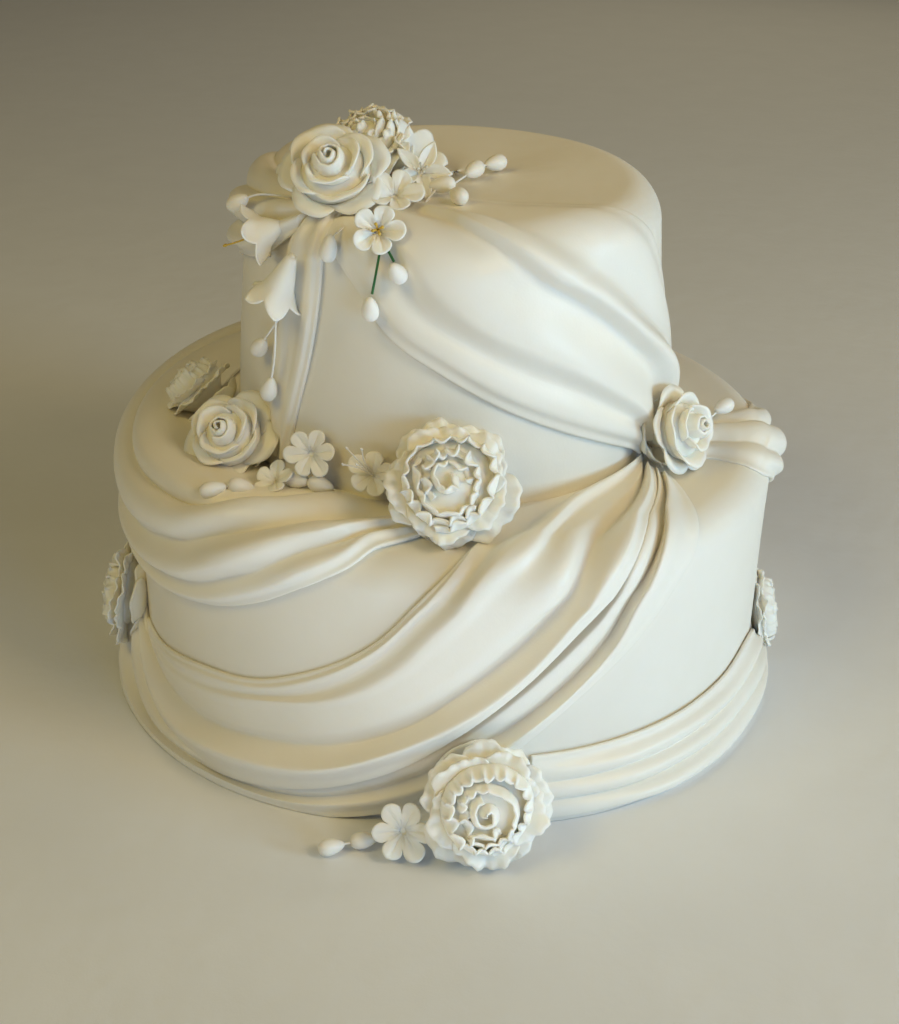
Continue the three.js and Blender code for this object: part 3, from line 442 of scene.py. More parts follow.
SWAGS = {
    "main_swag": draped(
        LOWER,
        fold(
            [57, 30, 12, 2, -4, -11, -20, -32, -46, -60, -71],
            [172, 172, 167, 130, 113, 90, 72, 56, 47, 38, 36],
            [2.5, 2, 2, 2.2, 2.2, 2],
        ),
        fold(
            [56.5, 29, 12, 2, -4, -11, -20, -31, -45, -59.5, -71.2],
            [171, 170.5, 160, 127, 110, 88, 69.5, 54.5, 44.5, 36.5, 35.5],
            [4, 3.2, 3.6, 4.2, 4, 3.6, 2],
        ),
        fold(
            [56, 29, 12, 3, -4, -11, -20, -32, -46, -59.5, -71.4],
            [170.5, 168, 148, 124, 105, 82, 63, 50, 40, 34, 35],
            [4, 3, 2.8, 3, 3, 3, 2],
            full=0.4,
        ),
        fold(
            [55.5, 29, 14, 5, -1, -8, -17, -29, -43, -59, -71.6],
            [170, 158, 132, 121, 104, 80, 63, 51, 38, 31, 35],
            [9, 10.5, 10.5, 10, 9, 8, 7, 5.5, 4.5, 3.5, 2],
            full=0.45,
        ),
        fold(
            [55, 28, 14, 6, 0, -8, -18, -30, -44, -58.5, -71.8],
            [169, 154, 127, 114, 94, 72, 56, 44, 33.5, 28, 35],
            [6, 6, 7, 8, 7.8, 7, 6.2, 5, 4.2, 3.2, 2],
            crease=0.08,
        ),
        fold(
            [54.5, 26, 16, 9, 2, -7, -17, -29, -44, -58, -72],
            [168, 142, 120, 105, 85, 65, 49, 37, 28.5, 25.5, 35],
            [5, 7, 8.4, 8.4, 7.6, 6.6, 5.6, 4.8, 4.2, 3.2, 2],
            full=0.45,
        ),
        fold(
            [54, 27, 18, 11, 3, -6, -17, -30, -45, -58, -71],
            [167, 135, 112, 91, 71, 51, 37, 29, 22, 23, 36],
            [2, 2, 2, 2, 2, 2, 2.4, 3, 3, 2.4, 2],
            crease=0.25,
        ),
        fold(
            [53.5, 29, 20, 12, 3, -8, -20, -35, -51, -63, -71],
            [165, 127, 112, 86, 64, 45, 29, 20, 15, 24, 39],
            [8, 11, 12.5, 13, 13.5, 14, 15, 15, 12.5, 9.5, 5],
            full=0.3,
        ),
        fold(
            [54, 30, 21, 12, 2, -9, -23, -40, -56, -66, -72],
            [163, 124, 104, 78, 53, 31, 14, 4, 4, 18, 38],
            [6, 8, 9, 9.5, 9.5, 9.5, 10, 10.5, 9, 7, 4],
        ),
    ),
    "under_swag": draped(
        LOWER,
        fold(
            [56, 30.5, 22, 13, 3, -9, -23, -38, -54, -66, -72],
            [164, 127, 102, 78, 55, 37, 20, 12, 12, 28, 41],
            [1, 1, 1, 1, 1, 2, 3, 5, 5, 4, 2.5],
        ),
        fold(
            [54, 30, 22, 12, 2, -10, -24, -41, -58, -69, -73],
            [161, 122, 99, 72, 48, 25, 9, 5, 5, 22, 40],
            [6, 7.5, 8, 7.5, 7, 6.5, 8, 11, 12.5, 10.5, 5],
        ),
        fold(
            [54.5, 33, 25, 15, 3, -10, -25, -42, -60, -72, -74],
            [158.5, 118, 88, 62, 39, 18, 5, 1.5, 2, 16, 39],
            [2, 2, 2, 2, 2, 3, 6, 9.5, 10, 9, 4],
            crease=0.25,
        ),
        fold(
            [53.5, 32, 25, 16, 5, -8, -23, -40, -60, -75, -75.5],
            [156, 118, 88, 62, 37, 16, 5, 4, 2.5, 11, 38],
            [6, 9, 9.5, 9.5, 8.5, 7, 10, 14, 15.5, 15, 6],
            full=0.35,
        ),
        fold(
            [56, 42, 32, 20, 8, -6, -21, -39, -59, -77, -78],
            [156.5, 116, 86, 59, 32, 9, 0, 0, 0, 5, 37],
            [2.4, 2, 2, 2.2, 2.4, 3.2, 9, 14, 15.5, 14, 5],
        ),
    ),
    "shoulder_swag": draped(
        LOWER,
        fold(
            [-14, -22, -30, -39, -50, -62, -78, -98, -122, -147, -172],
            [170, 170, 170, 164, 159, 157, 157, 157, 157, 158, 163],
            [2, 2, 2.4, 3, 3.5, 3.5, 3.5, 3, 2.5, 2.5, 3],
        ),
        fold(
            [-13.6, -21.5, -29, -37, -46, -57, -74, -98, -122, -147, -172],
            [169, 169, 168, 148, 132, 127.5, 127, 132, 136, 142, 161],
            [2.6, 2.8, 3.8, 5.6, 6.6, 7.4, 7.4, 6.8, 5, 4, 3],
            full=0.4,
        ),
        fold(
            [-13.2, -21, -28.5, -36.5, -44.5, -55, -72.5, -98, -122, -147, -171.5],
            [167, 167, 165, 142.5, 127.5, 122, 120, 125, 130, 137, 159],
            [2.4, 2.4, 2.2, 2.2, 2.2, 2.2, 2.2, 2.4, 2.6, 2.6, 3],
            crease=0.75,
        ),
        fold(
            [-12, -19.5, -26, -34, -43, -53.5, -70, -96, -122, -147, -171],
            [163, 160, 152, 136, 123, 115, 110, 113, 119, 129, 156],
            [4, 6, 8, 9, 9.5, 10, 10.5, 10, 9, 7, 5],
        ),
        fold(
            [-11, -17.5, -23, -30, -40, -52, -68.5, -95, -122, -147, -171],
            [158, 151, 143.5, 130.5, 119.5, 106.5, 95, 96, 104, 117, 154],
            [3, 3, 3, 3, 3, 3.2, 3.6, 4, 3.6, 3.4, 3],
            crease=0.4,
        ),
        fold(
            [-9, -15, -20, -26.5, -36, -48, -65, -94, -122, -147, -171],
            [154, 143, 132, 125.5, 114.5, 97.5, 88.5, 88, 97, 111, 152],
            [6, 8, 9.5, 10.5, 11, 11, 10.5, 9.5, 8, 7, 4],
            full=0.4,
        ),
        fold(
            [-8, -14, -18, -25, -34.5, -46.5, -63, -93, -122, -147, -170.5],
            [151, 141, 132, 122, 107.5, 91, 82, 82, 93, 108, 150],
            [3, 3, 3, 3.4, 3.8, 4, 4, 4, 4, 3.5, 3],
            crease=0.3,
        ),
        fold(
            [-7, -13, -17, -24, -33, -44.5, -61, -92, -122, -147, -170],
            [148, 138, 126, 116.5, 102, 87.5, 79, 79, 90, 106, 149],
            [5, 6, 6, 6.5, 7, 7, 7.2, 7, 6.5, 6, 4],
            full=0.4,
        ),
        fold(
            [-6, -12, -16, -23, -32, -43.5, -60, -92, -122, -147, -170],
            [146, 134, 123, 112, 97, 84.5, 76, 76, 87, 104, 147],
            [3, 3, 3, 3.2, 3.4, 3.6, 3.6, 3.4, 3.2, 3, 3],
        ),
    ),
    "side_swag": draped(
        LOWER,
        fold(
            [70, 88.4, 91.2, 93.6, 97, 112, 140, 172],
            [166, 152.5, 140.5, 132, 126, 114, 119, 163],
            [3, 2, 2, 2, 2, 3, 2, 3],
        ),
        fold(
            [68.8, 84.5, 87, 89, 92, 109.5, 138.5, 172],
            [164.5, 152.5, 140.5, 132, 125.5, 104.5, 112, 160],
            [5, 5.5, 6, 6.5, 6.5, 7, 7, 5],
        ),
        fold(
            [67.6, 81.5, 84, 86, 89, 108, 137.5, 171.5],
            [163.2, 153, 139.5, 131, 124, 100.5, 107, 158],
            [3, 3, 3, 3, 3, 3.5, 4, 3],
            crease=0.5,
        ),
        fold(
            [66.2, 77, 79.5, 81.5, 84.5, 106, 136.5, 171],
            [161.5, 152.5, 138, 129.5, 122, 95, 101, 156],
            [6, 8, 9, 9.5, 9, 9, 8, 5],
        ),
        fold(
            [65, 74, 76, 77.5, 80.5, 104, 135.5, 171],
            [160, 151.5, 137, 128, 120.5, 90, 96, 154],
            [3, 3, 3.5, 4, 4, 4, 4, 3],
            crease=0.5,
        ),
        fold(
            [63.8, 71.5, 73, 74.5, 78, 103, 134.5, 170.5],
            [158, 150, 135.5, 127.5, 118.5, 86.5, 92, 152],
            [4, 4.4, 4.8, 5.2, 6, 7, 7, 4],
        ),
        fold(
            [62.5, 69, 69.5, 70.5, 75.5, 101, 132.5, 170],
            [156, 149, 134, 125, 115.5, 83, 88, 150],
            [2, 1.2, 1.2, 1.4, 2, 3, 3, 3],
        ),
    ),
    "crown_swag": draped(
        UPPER,
        fold(
            [-18, 9, 28, 44, 58, 74, 86, 76],
            [165, 160, 151, 138, 116, 82, 46, 18],
            [1.4, 1.4, 1.4, 1.6, 1.8, 2, 2.4, 4],
        ),
        fold(
            [-15, 7, 22, 36, 52, 68, 82, 73],
            [156, 147, 139, 127, 106, 76, 43, 17],
            [2.4, 2.8, 3, 3.6, 4, 4, 5, 6],
        ),
        fold(
            [-15, 5, 17, 29, 43, 58, 76, 70],
            [151, 139, 126, 113, 98, 74, 44, 16.5],
            [2, 2.2, 2.4, 2.4, 2.4, 3, 5, 5],
            full=0.45,
        ),
        fold(
            [-15, 4, 14, 24, 35, 50, 70, 67],
            [143, 122, 113, 104, 93, 72, 40, 16],
            [4, 7, 8.5, 9.5, 10.5, 11.5, 12.5, 8],
            full=0.4,
        ),
        fold(
            [-17, 1, 12, 22, 34, 47, 61, 63],
            [140, 122, 111, 99, 86, 68, 42, 15],
            [2.4, 2.6, 2.6, 2.6, 2.6, 3, 4, 4],
            crease=0.2,
        ),
        fold(
            [-20, -8, 0, 10, 22, 36, 54, 60],
            [124, 107, 96, 82, 71, 56, 32, 14],
            [5, 8, 9, 9, 9, 9, 9.5, 8],
            full=0.35,
        ),
        fold(
            [-27, -15, -6, 6, 19, 34, 53, 58],
            [122, 103, 86, 73, 61, 48, 26, 12.5],
            [2.4, 2.6, 2.8, 3, 3, 3.4, 4, 4],
            crease=0.2,
        ),
        fold(
            [-32, -20, -11, 1, 14, 30, 52, 57],
            [120, 101, 82, 69, 55, 41, 21, 11],
            [3, 4, 5, 5.4, 5.4, 5.2, 6, 6],
        ),
        fold(
            [-37, -25, -15, -2, 12, 28, 51, 56],
            [116, 96, 76, 62, 48, 34, 15, 9],
            [2, 2.4, 2.4, 2.4, 2.4, 2.6, 3, 4],
        ),
    ),
    "rear_swag": draped(
        UPPER,
        crest([0, 0], [2, 1.6, 1.6, 2, 4]),
        crest([0.1, 0.11, 0.12], [3, 3, 3.6, 5, 6]),
        valley([0.2, 0.22, 0.22], [2, 1.8, 2, 4, 5]),
        crest([0.33, 0.35, 0.36], [5, 5.5, 6, 8, 8]),
        valley([0.46, 0.48, 0.48], [2.4, 2.4, 2.4, 4, 5]),
        crest([0.6, 0.61, 0.6], [6, 9, 8, 9, 8]),
        valley([0.74, 0.74, 0.73], [2.4, 2.6, 3, 4, 5]),
        crest([0.87, 0.88, 0.87, 0.86], [6, 8.5, 8, 8, 7]),
        crest([1, 1], [2.6, 3, 4]),
        upper=[[-42, 134], [-64, 137], [-92, 134], [-124, 122], [-154, 86], [-176, 46], [-178, 18]],
        lower=[[-44, 110], [-60, 93], [-82, 82], [-108, 62], [-134, 38], [-154, 22], [-168, 12]],
    ),
    "hanging_tail": draped(
        UPPER,
        fold([-43, -48, -50, -51, -51, -49], [122, 91, 71, 50, 29, 8], [2, 1.8, 1.8, 1.8]),
        fold([-41, -45, -47, -48.5, -49, -48], [123, 92, 72, 51, 30, 8], [4, 3.2, 3, 3]),
        fold([-39, -41, -42.5, -44, -46, -46.5], [123.5, 93, 73, 52, 31, 8], [2.8, 2.6, 2.4, 2.6]),
        fold([-37, -37, -38, -40, -43, -45.3], [124, 95, 75, 54, 32, 8], [4.4, 3.8, 3.6, 3.6]),
        fold([-35, -35, -36, -38, -41, -44], [124, 95, 76, 55, 33, 8], [2.6, 2.4, 2.2, 2.2]),
    ),
}


def foot_swag(start, end, rise, hem):
    """A swag round the foot of the cake, from one rose to the next, its edges at rise and at hem."""
    last = len(rise) - 1
    azimuths = [start + (end - start) * i / last for i in range(len(rise))]
    return draped(
        LOWER,
        crest([0, 0], [3, 3]),
        crest([0.2, 0.2, 0.18], [5, 8, 8, 8, 8, 7]),
        valley([0.36, 0.35, 0.34], [4, 5, 5, 5, 5, 5]),
        crest([0.52, 0.5, 0.5], [6, 10, 11, 11, 11, 10]),
        valley([0.66, 0.65, 0.66], [4, 6, 7, 7, 7, 7]),
        crest([0.82, 0.82, 0.82], [7, 11, 13, 13, 13, 12]),
        crest([1, 1], [5, 8, 9, 9, 9, 8]),
        upper=list(zip(azimuths, rise)),
        lower=list(zip(azimuths, hem)),
    )


SWAGS["foot_swag_front"] = foot_swag(14, 84.2, [34, 33, 33, 34, 36, 17], [0, 0, 0, 0, 0, 0])
SWAGS["foot_swag_right"] = foot_swag(83.8, 178, [17, 37, 35, 35, 40, 48], [0, 0, 0, 0, 0, 2])
SWAGS["foot_swag_left"] = foot_swag(-73, -178, [30, 42, 37, 36, 40, 48], [0, 0, 0, 0, 0, 2])


# ---- roses


PETAL_ROWS, PETAL_COLUMNS = 12, 29
BROAD_WAVES = 1.6  # broad waves from the middle of a petal's edge to its side, in half turns
SHOULDER = 0.45  # how far a petal reaches at its sides
CURL_FROM = 0.72  # share of a petal's reach where its rim begins to roll back
WAVES_FROM = 0.35  # share of a petal's reach where its waves begin
OVERLAP = 0.045  # how far one side of a petal lies outside its neighbour, in radii
BAND_ROWS = 10
FRILL_RISE = 3.5  # how late up a ribbon its frill grows


def petal_waves(s, layer, rng):
    """Uneven waves along a petal's edge: a few broad ones and, where frilled, small ones on them."""
    broad = BROAD_WAVES * np.pi * s
    small = 4.3 * broad
    phases = rng.random(3) * ANY_PHASE
    wave = np.sin(broad + phases[0]) + 0.55 * np.sin(1.9 * broad + phases[1])
    return layer.get("ruffle", 0.02) * wave + layer.get("frill", 0.0) * np.sin(small + phases[2])


def petal_grid(layer, centre, radius, height, rng):
    """One petal of a rose: a curved sheet round the axis, from its foot to its rolled rim."""
    s = np.linspace(-1, 1, PETAL_COLUMNS)[None, :]
    t = np.linspace(0, 1, PETAL_ROWS)[:, None]
    outline = (1 - np.abs(s) ** layer.get("blunt", 2.6)) ** 0.5
    reach = t * (SHOULDER + (1 - SHOULDER) * outline)
    flat = layer.get("flat", 0.0)
    out = (1 - flat) * np.sin(reach * np.pi / 2) ** 0.8 + flat * reach
    up = reach ** layer.get("climb", 1.7)
    curl = np.clip((reach - CURL_FROM) / (1 - CURL_FROM), 0, 1) ** 2 * layer["curl"]
    ring = layer["foot"] + (layer["rim"] - layer["foot"]) * out + curl + OVERLAP * s * (0.4 + 0.6 * t)
    edge = np.clip((reach - WAVES_FROM) / (1 - WAVES_FROM), 0, 1) ** 1.6
    ring = ring + 0.8 * petal_waves(s, layer, rng) * edge
    rise = height * (layer["low"] + (layer["high"] - layer["low"]) * up)
    rise = rise + radius * (petal_waves(s, layer, rng) * edge - 0.75 * curl)
    angle = centre + s * layer["half"] * (0.82 + 0.18 * t)
    return np.stack([radius * ring * np.cos(angle), radius * ring * np.sin(angle), rise], -1)


def sheet_thickness(grid, middle, rim):
    """Thick at the foot and thin at the rim of a petal."""
    rows, columns = grid.shape[:2]
    t = np.linspace(0, 1, rows)[:, None]
    s = np.linspace(-1, 1, columns)[None, :]
    return rim + (middle - rim) * (1 - t**3) * (1 - np.abs(s) ** 6)


def spiral(turns, reach, rng, columns):
    """Places in plan along a spiral round the axis, from one reach to the other."""
    share = np.linspace(0, 1, columns)
    angle = 2 * np.pi * turns * share + rng.random() * ANY_PHASE
    ring = reach[0] + (reach[1] - reach[0]) * share
    ring = ring * (1 + 0.04 * np.sin(2 * angle + rng.random() * ANY_PHASE) + 0.03 * np.sin(3 * angle))
    return np.stack([ring * np.cos(angle), ring * np.sin(angle)], -1)


def band(form, plan, radius, height, rng, ribbon):
    """A standing ribbon of icing along places in plan: smooth below, its edge frilled and leaning in."""
    t = np.linspace(0, 1, BAND_ROWS)[:, None]
    ahead = np.gradient(plan, axis=0)
    step = np.linalg.norm(ahead, axis=1)
    ahead = ahead / step[:, None]
    out = np.stack([ahead[:, 1], -ahead[:, 0]], -1)
    share = np.linspace(0, 1, len(plan))
    drifts = [wander(share, int(rng.integers(1e6)), 1.0) for _ in range(4)]
    phase = 2 * np.pi * ribbon.get("waves", 4.0) * np.cumsum(step) + 2.4 * drifts[0]
    size = ribbon.get("frill", 0.008) * np.clip(1 + 0.6 * drifts[1], 0.15, 1.9)
    sway = ribbon.get("sway", 0.02) * (drifts[2] + 0.5 * np.sin(0.37 * phase))
    frill = size * (np.sin(phase) + 0.3 * np.sin(1.7 * phase)) * t**FRILL_RISE
    offset = 0.04 * np.sin(np.pi * t) - ribbon.get("lean", 0.05) * t**2 + sway * t + frill
    slip = 0.7 * size * np.cos(phase) * t**FRILL_RISE
    place = plan[None] + offset[..., None] * out[None] + slip[..., None] * ahead[None]
    low, top = ribbon["low"], ribbon["top"]
    tip = top[0] + (top[1] - top[0]) * share + 0.05 * drifts[3]
    rise = height * (low + (tip - low) * t) + 0.5 * radius * size * np.cos(0.6 * phase) * t**2
    grid = np.concatenate([radius * place, rise[..., None]], -1)
    shell(form, grid, 1.6 - 0.7 * t**2 + 0 * share)


def rose_base(form, radius, height, neck, heart):
    """The solid foot that a rose's petals grow from, down to the icing, and its domed heart."""
    profile = [
        [0, -neck],
        [0.3 * radius, -neck],
        [0.36 * radius, -0.7 * height],
        [0.55 * radius, -0.3 * height],
        [0.74 * radius, -0.02 * height],
        [0.66 * radius, 0.44 * heart * height],
        [0.44 * radius, 0.82 * heart * height],
        [0.2 * radius, 0.97 * heart * height],
        [0, heart * height],
    ]
    turned(form, profile, 32)


def add_layers(form, layers, radius, height, rng):
    """Petals round the axis, layer by layer, each a little out of its even place and size."""
    for layer in layers:
        turn = rng.random() * ANY_PHASE
        count = layer["count"]
        for k in range(count):
            centre = turn + 2 * np.pi * k / count + 0.3 * rng.normal() / count
            grid = petal_grid(layer, centre, radius * (1 + 0.035 * rng.normal()), height, rng)
            shell(form, grid, sheet_thickness(grid, 1.5, layer.get("edge", 0.75)))


# Layers of petals and ribbons from the outside in: foot, rim and reach are in radii of the rose, low,
# high and top in its heights, half is half a petal's width in radians.
BACK_LAYER = dict(count=6, foot=0.34, rim=0.84, low=-0.95, high=-0.4, half=0.72, curl=0.05)

SMOOTH_LAYERS = [
    BACK_LAYER,
    dict(count=5, foot=0.34, rim=0.97, low=-0.3, high=0.24, half=0.8, curl=0.2, flat=0.4),
    dict(count=4, foot=0.32, rim=0.77, low=-0.1, high=0.68, half=1.0, curl=0.15, blunt=2.2),
    dict(count=3, foot=0.3, rim=0.5, low=0.1, high=0.92, half=1.3, curl=0.12, blunt=2.2),
]

FLARED = dict(count=5, half=0.78, ruffle=0.05, edge=0.5)

RUFFLED_LAYERS = [
    BACK_LAYER,
    dict(FLARED, foot=0.4, rim=0.98, low=-0.1, high=0.06, curl=0.03, frill=0.02, climb=1.0, flat=0.85),
    dict(FLARED, foot=0.42, rim=0.84, low=0.0, high=0.44, curl=0.05, frill=0.022, climb=1.1, flat=0.6),
]

FRILLED_RIBBONS = [
    dict(turns=1.12, reach=(0.68, 0.58), low=0.0, top=(0.76, 0.88), frill=0.05, waves=4.9, lean=0.06),
    dict(turns=1.2, reach=(0.46, 0.36), low=0.3, top=(0.88, 0.96), frill=0.042, waves=5.2, lean=0.03),
    dict(turns=1.45, reach=(0.26, 0.02), low=0.4, top=(0.94, 1.08), sway=0.01),
]

WAVY_RIBBONS = [
    dict(turns=1.15, reach=(0.68, 0.58), low=0.05, top=(0.7, 0.82), frill=0.055, waves=4.3, lean=-0.02),
    dict(turns=1.25, reach=(0.5, 0.36), low=0.3, top=(0.82, 0.96), frill=0.05, waves=5.0, lean=0.0),
    dict(turns=1.2, reach=(0.3, 0.06), low=0.5, top=(0.94, 1.06), frill=0.04, waves=5.6, lean=0.0),
]

ROLLED_HEART = [dict(turns=2.1, reach=(0.31, 0.05), low=0.4, top=(0.93, 1.1), lean=0.03, sway=0.0)]

PLAIN_COLUMNS = 120  # points along a ribbon without a frill
FRILL_COLUMNS = 4000  # points more for a frill as deep as the rose's radius


def rose_form(layers, ribbons, heart, radius, height, neck, seed):
    """A whole rose: its foot, its petals layer by layer, and the ribbons rolled up in its middle."""
    rng = np.random.default_rng(seed)
    form = Form()
    rose_base(form, radius, height, neck, heart)
    add_layers(form, layers, radius, height, rng)
    for ribbon in ribbons:
        columns = PLAIN_COLUMNS + int(FRILL_COLUMNS * ribbon.get("frill", 0))
        plan = spiral(ribbon["turns"], ribbon["reach"], rng, columns)
        band(form, plan, radius, height, rng, ribbon)
    return form


def smooth_rose(*sizes):
    """A rose of broad smooth petals round a rolled centre."""
    return rose_form(SMOOTH_LAYERS, ROLLED_HEART, 0.6, *sizes)


def ruffled_rose(*sizes):
    """A full rose: wavy outer petals, two frilled rings and a rolled centre."""
    return rose_form(RUFFLED_LAYERS, FRILLED_RIBBONS, 0.74, *sizes)


def curled_rose(*sizes):
    """A full rose whose inner rings wave broadly and open outwards."""
    return rose_form(RUFFLED_LAYERS, WAVY_RIBBONS, 0.8, *sizes)


ROSES = {
    "cluster_rose": (smooth_rose, 20.5, 14, 18, skin(UPPER, -42, 128, 14.5), (-12, 52)),
    "cluster_ruffled_rose": (curled_rose, 22, 13, 13, skin(UPPER, -80, 163, 12), (-40, 60)),
    "front_rose": (curled_rose, 27.5, 15, 24, (-1.5, -119, 148.5), (0, 38)),
    "gather_rose": (smooth_rose, 17.5, 15, 20, skin(LOWER, 61.5, 159, 19), (54, 25)),
    "ledge_rose": (smooth_rose, 19, 14, 22, skin(LOWER, -57, 155, 14), (-24, 44)),
    "ledge_ruffled_rose": (ruffled_rose, 18, 13, 20, skin(LOWER, -83, 152, 13), (-104, 44)),
    "foot_rose": (ruffled_rose, 28, 15, 20, (17.4, -174.5, 28), (4, 20)),
    "left_base_rose": (curled_rose, 25, 11, 12, skin(LOWER, -77, 42, 7.5), (-92, 6)),
    "right_base_rose": (ruffled_rose, 22, 9, 6, skin(LOWER, 86, 26, 5), (84, 10)),
    "back_ledge_rose": (ruffled_rose, 27, 15, 24, (0, 119, 148.5), (180, 38)),
    "back_base_rose": (ruffled_rose, 26, 14, 18, skin(LOWER, 180, 34, 16), (180, 14)),
}


# ---- small blossoms

BLOSSOM_ROWS = 12
TRUMPET_ROWS = 20
COLUMNS_A_PETAL = 20
THROAT = 0.12  # radius of a blossom's throat, in radii of the blossom
GROOVE = 0.55  # depth of the groove down a petal
GROOVE_WIDTH = 0.035


def blossom_form(radius, petals, cup, stem, pointed, seed):
    """An open blossom: petals with a pressed groove down the middle, round a shallow cup."""
    rng = np.random.default_rng(seed)
    form = Form()
    t = np.linspace(0, 1, BLOSSOM_ROWS)[:, None]
    angle = np.linspace(0, 2 * np.pi, COLUMNS_A_PETAL * petals, endpoint=False)[None, :]
    lobe = np.abs(np.cos(petals * angle / 2))
    outline = 1 - (np.arccos(lobe) * 2 / np.pi) ** 0.9 if pointed else lobe**0.4
    joined = 0.26 if pointed else 0.42
    uneven = 1 + 0.05 * np.sin(2 * angle + rng.random() * ANY_PHASE)
    uneven = uneven + 0.04 * np.sin(3 * angle + rng.random() * ANY_PHASE)
    reach = radius * uneven * (THROAT + t * (joined + (1 - THROAT - joined) * outline))
    middle = np.exp(-(((1 - lobe) / GROOVE_WIDTH) ** 2))
    rise = -cup * (1 - t) ** 2 + 0.12 * radius * t**2 * lobe - GROOVE * middle * np.sin(np.pi * t)
    rise += 0.05 * radius * t * np.sin(petals * angle + rng.random() * ANY_PHASE)
    grid = np.stack([reach * np.cos(angle), reach * np.sin(angle), rise], -1)
    shell(form, grid, 1.15 - 0.5 * t**2 + 0 * angle, wrap=True)
    profile = [[0, -stem], [0.16 * radius, -stem], [0.2 * radius, -cup - 1.2], [0.3 * radius, -cup * 0.6]]
    turned(form, [*profile, [0.14 * radius, -cup + 0.2], [0, -cup - 0.3]], 16)
    return form


BLOSSOMS = {
    "cluster_ribbed_blossom": ((11, 5, 4, 12, False), skin(UPPER, -21, 135, 10), (10, 55)),
    "cluster_star_blossom": ((14, 5, 3, 18, True), skin(UPPER, -20, 160, 12), (10, 40)),
    "cluster_cup_blossom": ((10.5, 5, 5.5, 13, False), skin(UPPER, -18, 113, 12), (2, 25)),
    "cluster_side_blossom": ((11.5, 5, 4, 13, False), skin(UPPER, -65, 126, 10), (-70, 30)),
    "ledge_open_blossom": ((11, 6, 2.5, 9, False), skin(UPPER, -33, 19.5, 8), (-12, 26)),
    "ledge_side_blossom": ((10, 5, 3, 11, False), skin(UPPER, -17, 18, 9), (-10, 34)),
    "ledge_low_blossom": ((9, 5, 3, 9, False), skin(LOWER, -40, 153, 8), (-36, 60)),
    "foot_blossom": ((13, 6, 3, 12, False), (-16.5, -176, 13.5), (-6, 26)),
}
TURNED = {"cluster_side_blossom": 74}  # degrees that a blossom is turned on its own axis


def stamen_form(count, spread, rise, foot, thick):
    """Stamens that stand in a blossom's throat, each with a bead on its tip."""
    form = Form()
    for k in range(count):
        angle = 2 * np.pi * k / count + 0.4
        tip = np.array([spread * np.cos(angle), spread * np.sin(angle), rise + 0.8 * np.sin(3 * k)])
        tube(form, [(0, 0, foot), tuple(tip * [0.35, 0.35, 0.5]), tuple(tip)], thick)
        bead = bud_form(2.2, 1.6 * thick).posed(tip, (0, 0, 1))
        form.add(np.concatenate(bead.points), bead.faces)
    return form


def trumpet_form(radius, length, petals, seed):
    """A trumpet blossom: a narrow throat that flares to pointed petals rolled back at their tips."""
    rng = np.random.default_rng(seed)
    form = Form()
    t = np.linspace(0, 1, TRUMPET_ROWS)[:, None]
    angle = np.linspace(0, 2 * np.pi, COLUMNS_A_PETAL * petals, endpoint=False)[None, :]
    lobe = 1 - np.arccos(np.abs(np.cos(petals * angle / 2))) * 2 / np.pi
    reach = t * (0.8 + 0.2 * lobe**0.9)
    ring = radius * (0.1 + 0.6 * reach**0.9)
    ring = ring + radius * 0.34 * np.clip((reach - 0.6) / 0.4, 0, 1) ** 1.6
    rise = -length * (1 - reach) - 0.16 * radius * np.clip((reach - 0.85) / 0.15, 0, 1) ** 2
    ring = ring * (1 + 0.05 * reach * np.sin(2 * angle + rng.random() * ANY_PHASE))
    rise = rise + 0.06 * radius * t**2 * np.sin(petals * angle + rng.random() * ANY_PHASE)
    grid = np.stack([ring * np.cos(angle), ring * np.sin(angle), rise], -1)
    shell(form, grid, 1.1 - 0.5 * t + 0 * angle, wrap=True)
    foot = [[0, -1], [0.1 * radius, -0.6], [0.13 * radius, 2], [0, 2.4]]
    turned(form, [[out, up - length] for out, up in foot], 12)
    return form


TRUMPETS = {
    "cluster_lily": ((14, 23, 5), skin(UPPER, -46, 182, 17), (60, 50)),
    "cluster_side_trumpet": ((13, 14, 5), skin(UPPER, -54, 103, 11), (-98, -26)),
    "cluster_hanging_trumpet": ((13, 25, 5), skin(UPPER, -45.5, 80, 10.5), (-112, -66)),
}

PLACES = {name: (at, facing) for name, (_, at, facing) in [*BLOSSOMS.items(), *TRUMPETS.items()]}
STAMENS = {
    "cluster_cup_blossom_stamens": (STAMEN, (4, 2.0, 3.2, -5, 0.4), *PLACES["cluster_cup_blossom"]),
    "cluster_star_blossom_stamens": (THREAD, (4, 2.0, 3.0, -3, 0.35), *PLACES["cluster_star_blossom"]),
    "cluster_side_trumpet_stamen": (STAMEN, (1, 1.0, 13, -9, 0.4), *PLACES["cluster_side_trumpet"]),
    "ledge_side_blossom_threads": (THREAD, (4, 5, 17, -2, 0.3), PLACES["ledge_side_blossom"][0], (-38, 46)),
}


# ---- buds on wires

BUD_RADIUS = 3.4
SPRAY_BUD_LENGTH = 12
WIRED_BUD_LENGTH = 11
THREAD_RADIUS = 0.5
GREEN_WIRE_RADIUS = 0.55


def bud_form(length, radius):
    """A smooth bud, blunt below and pointed above."""
    form = Form()
    t = np.linspace(0, 1, 20)
    ring = radius * 1.12 * np.sqrt(1 - (2 * t - 1) ** 2) * (1 - 0.5 * (t - 0.36))
    profile = np.stack([ring, length * (t - 0.5)], -1)
    turned(form, profile, 22)
    return form


def over(tier, route):
    """Points of a route given by azimuth, path and lift over a tier's icing."""
    return [skin(tier, *place) for place in route]


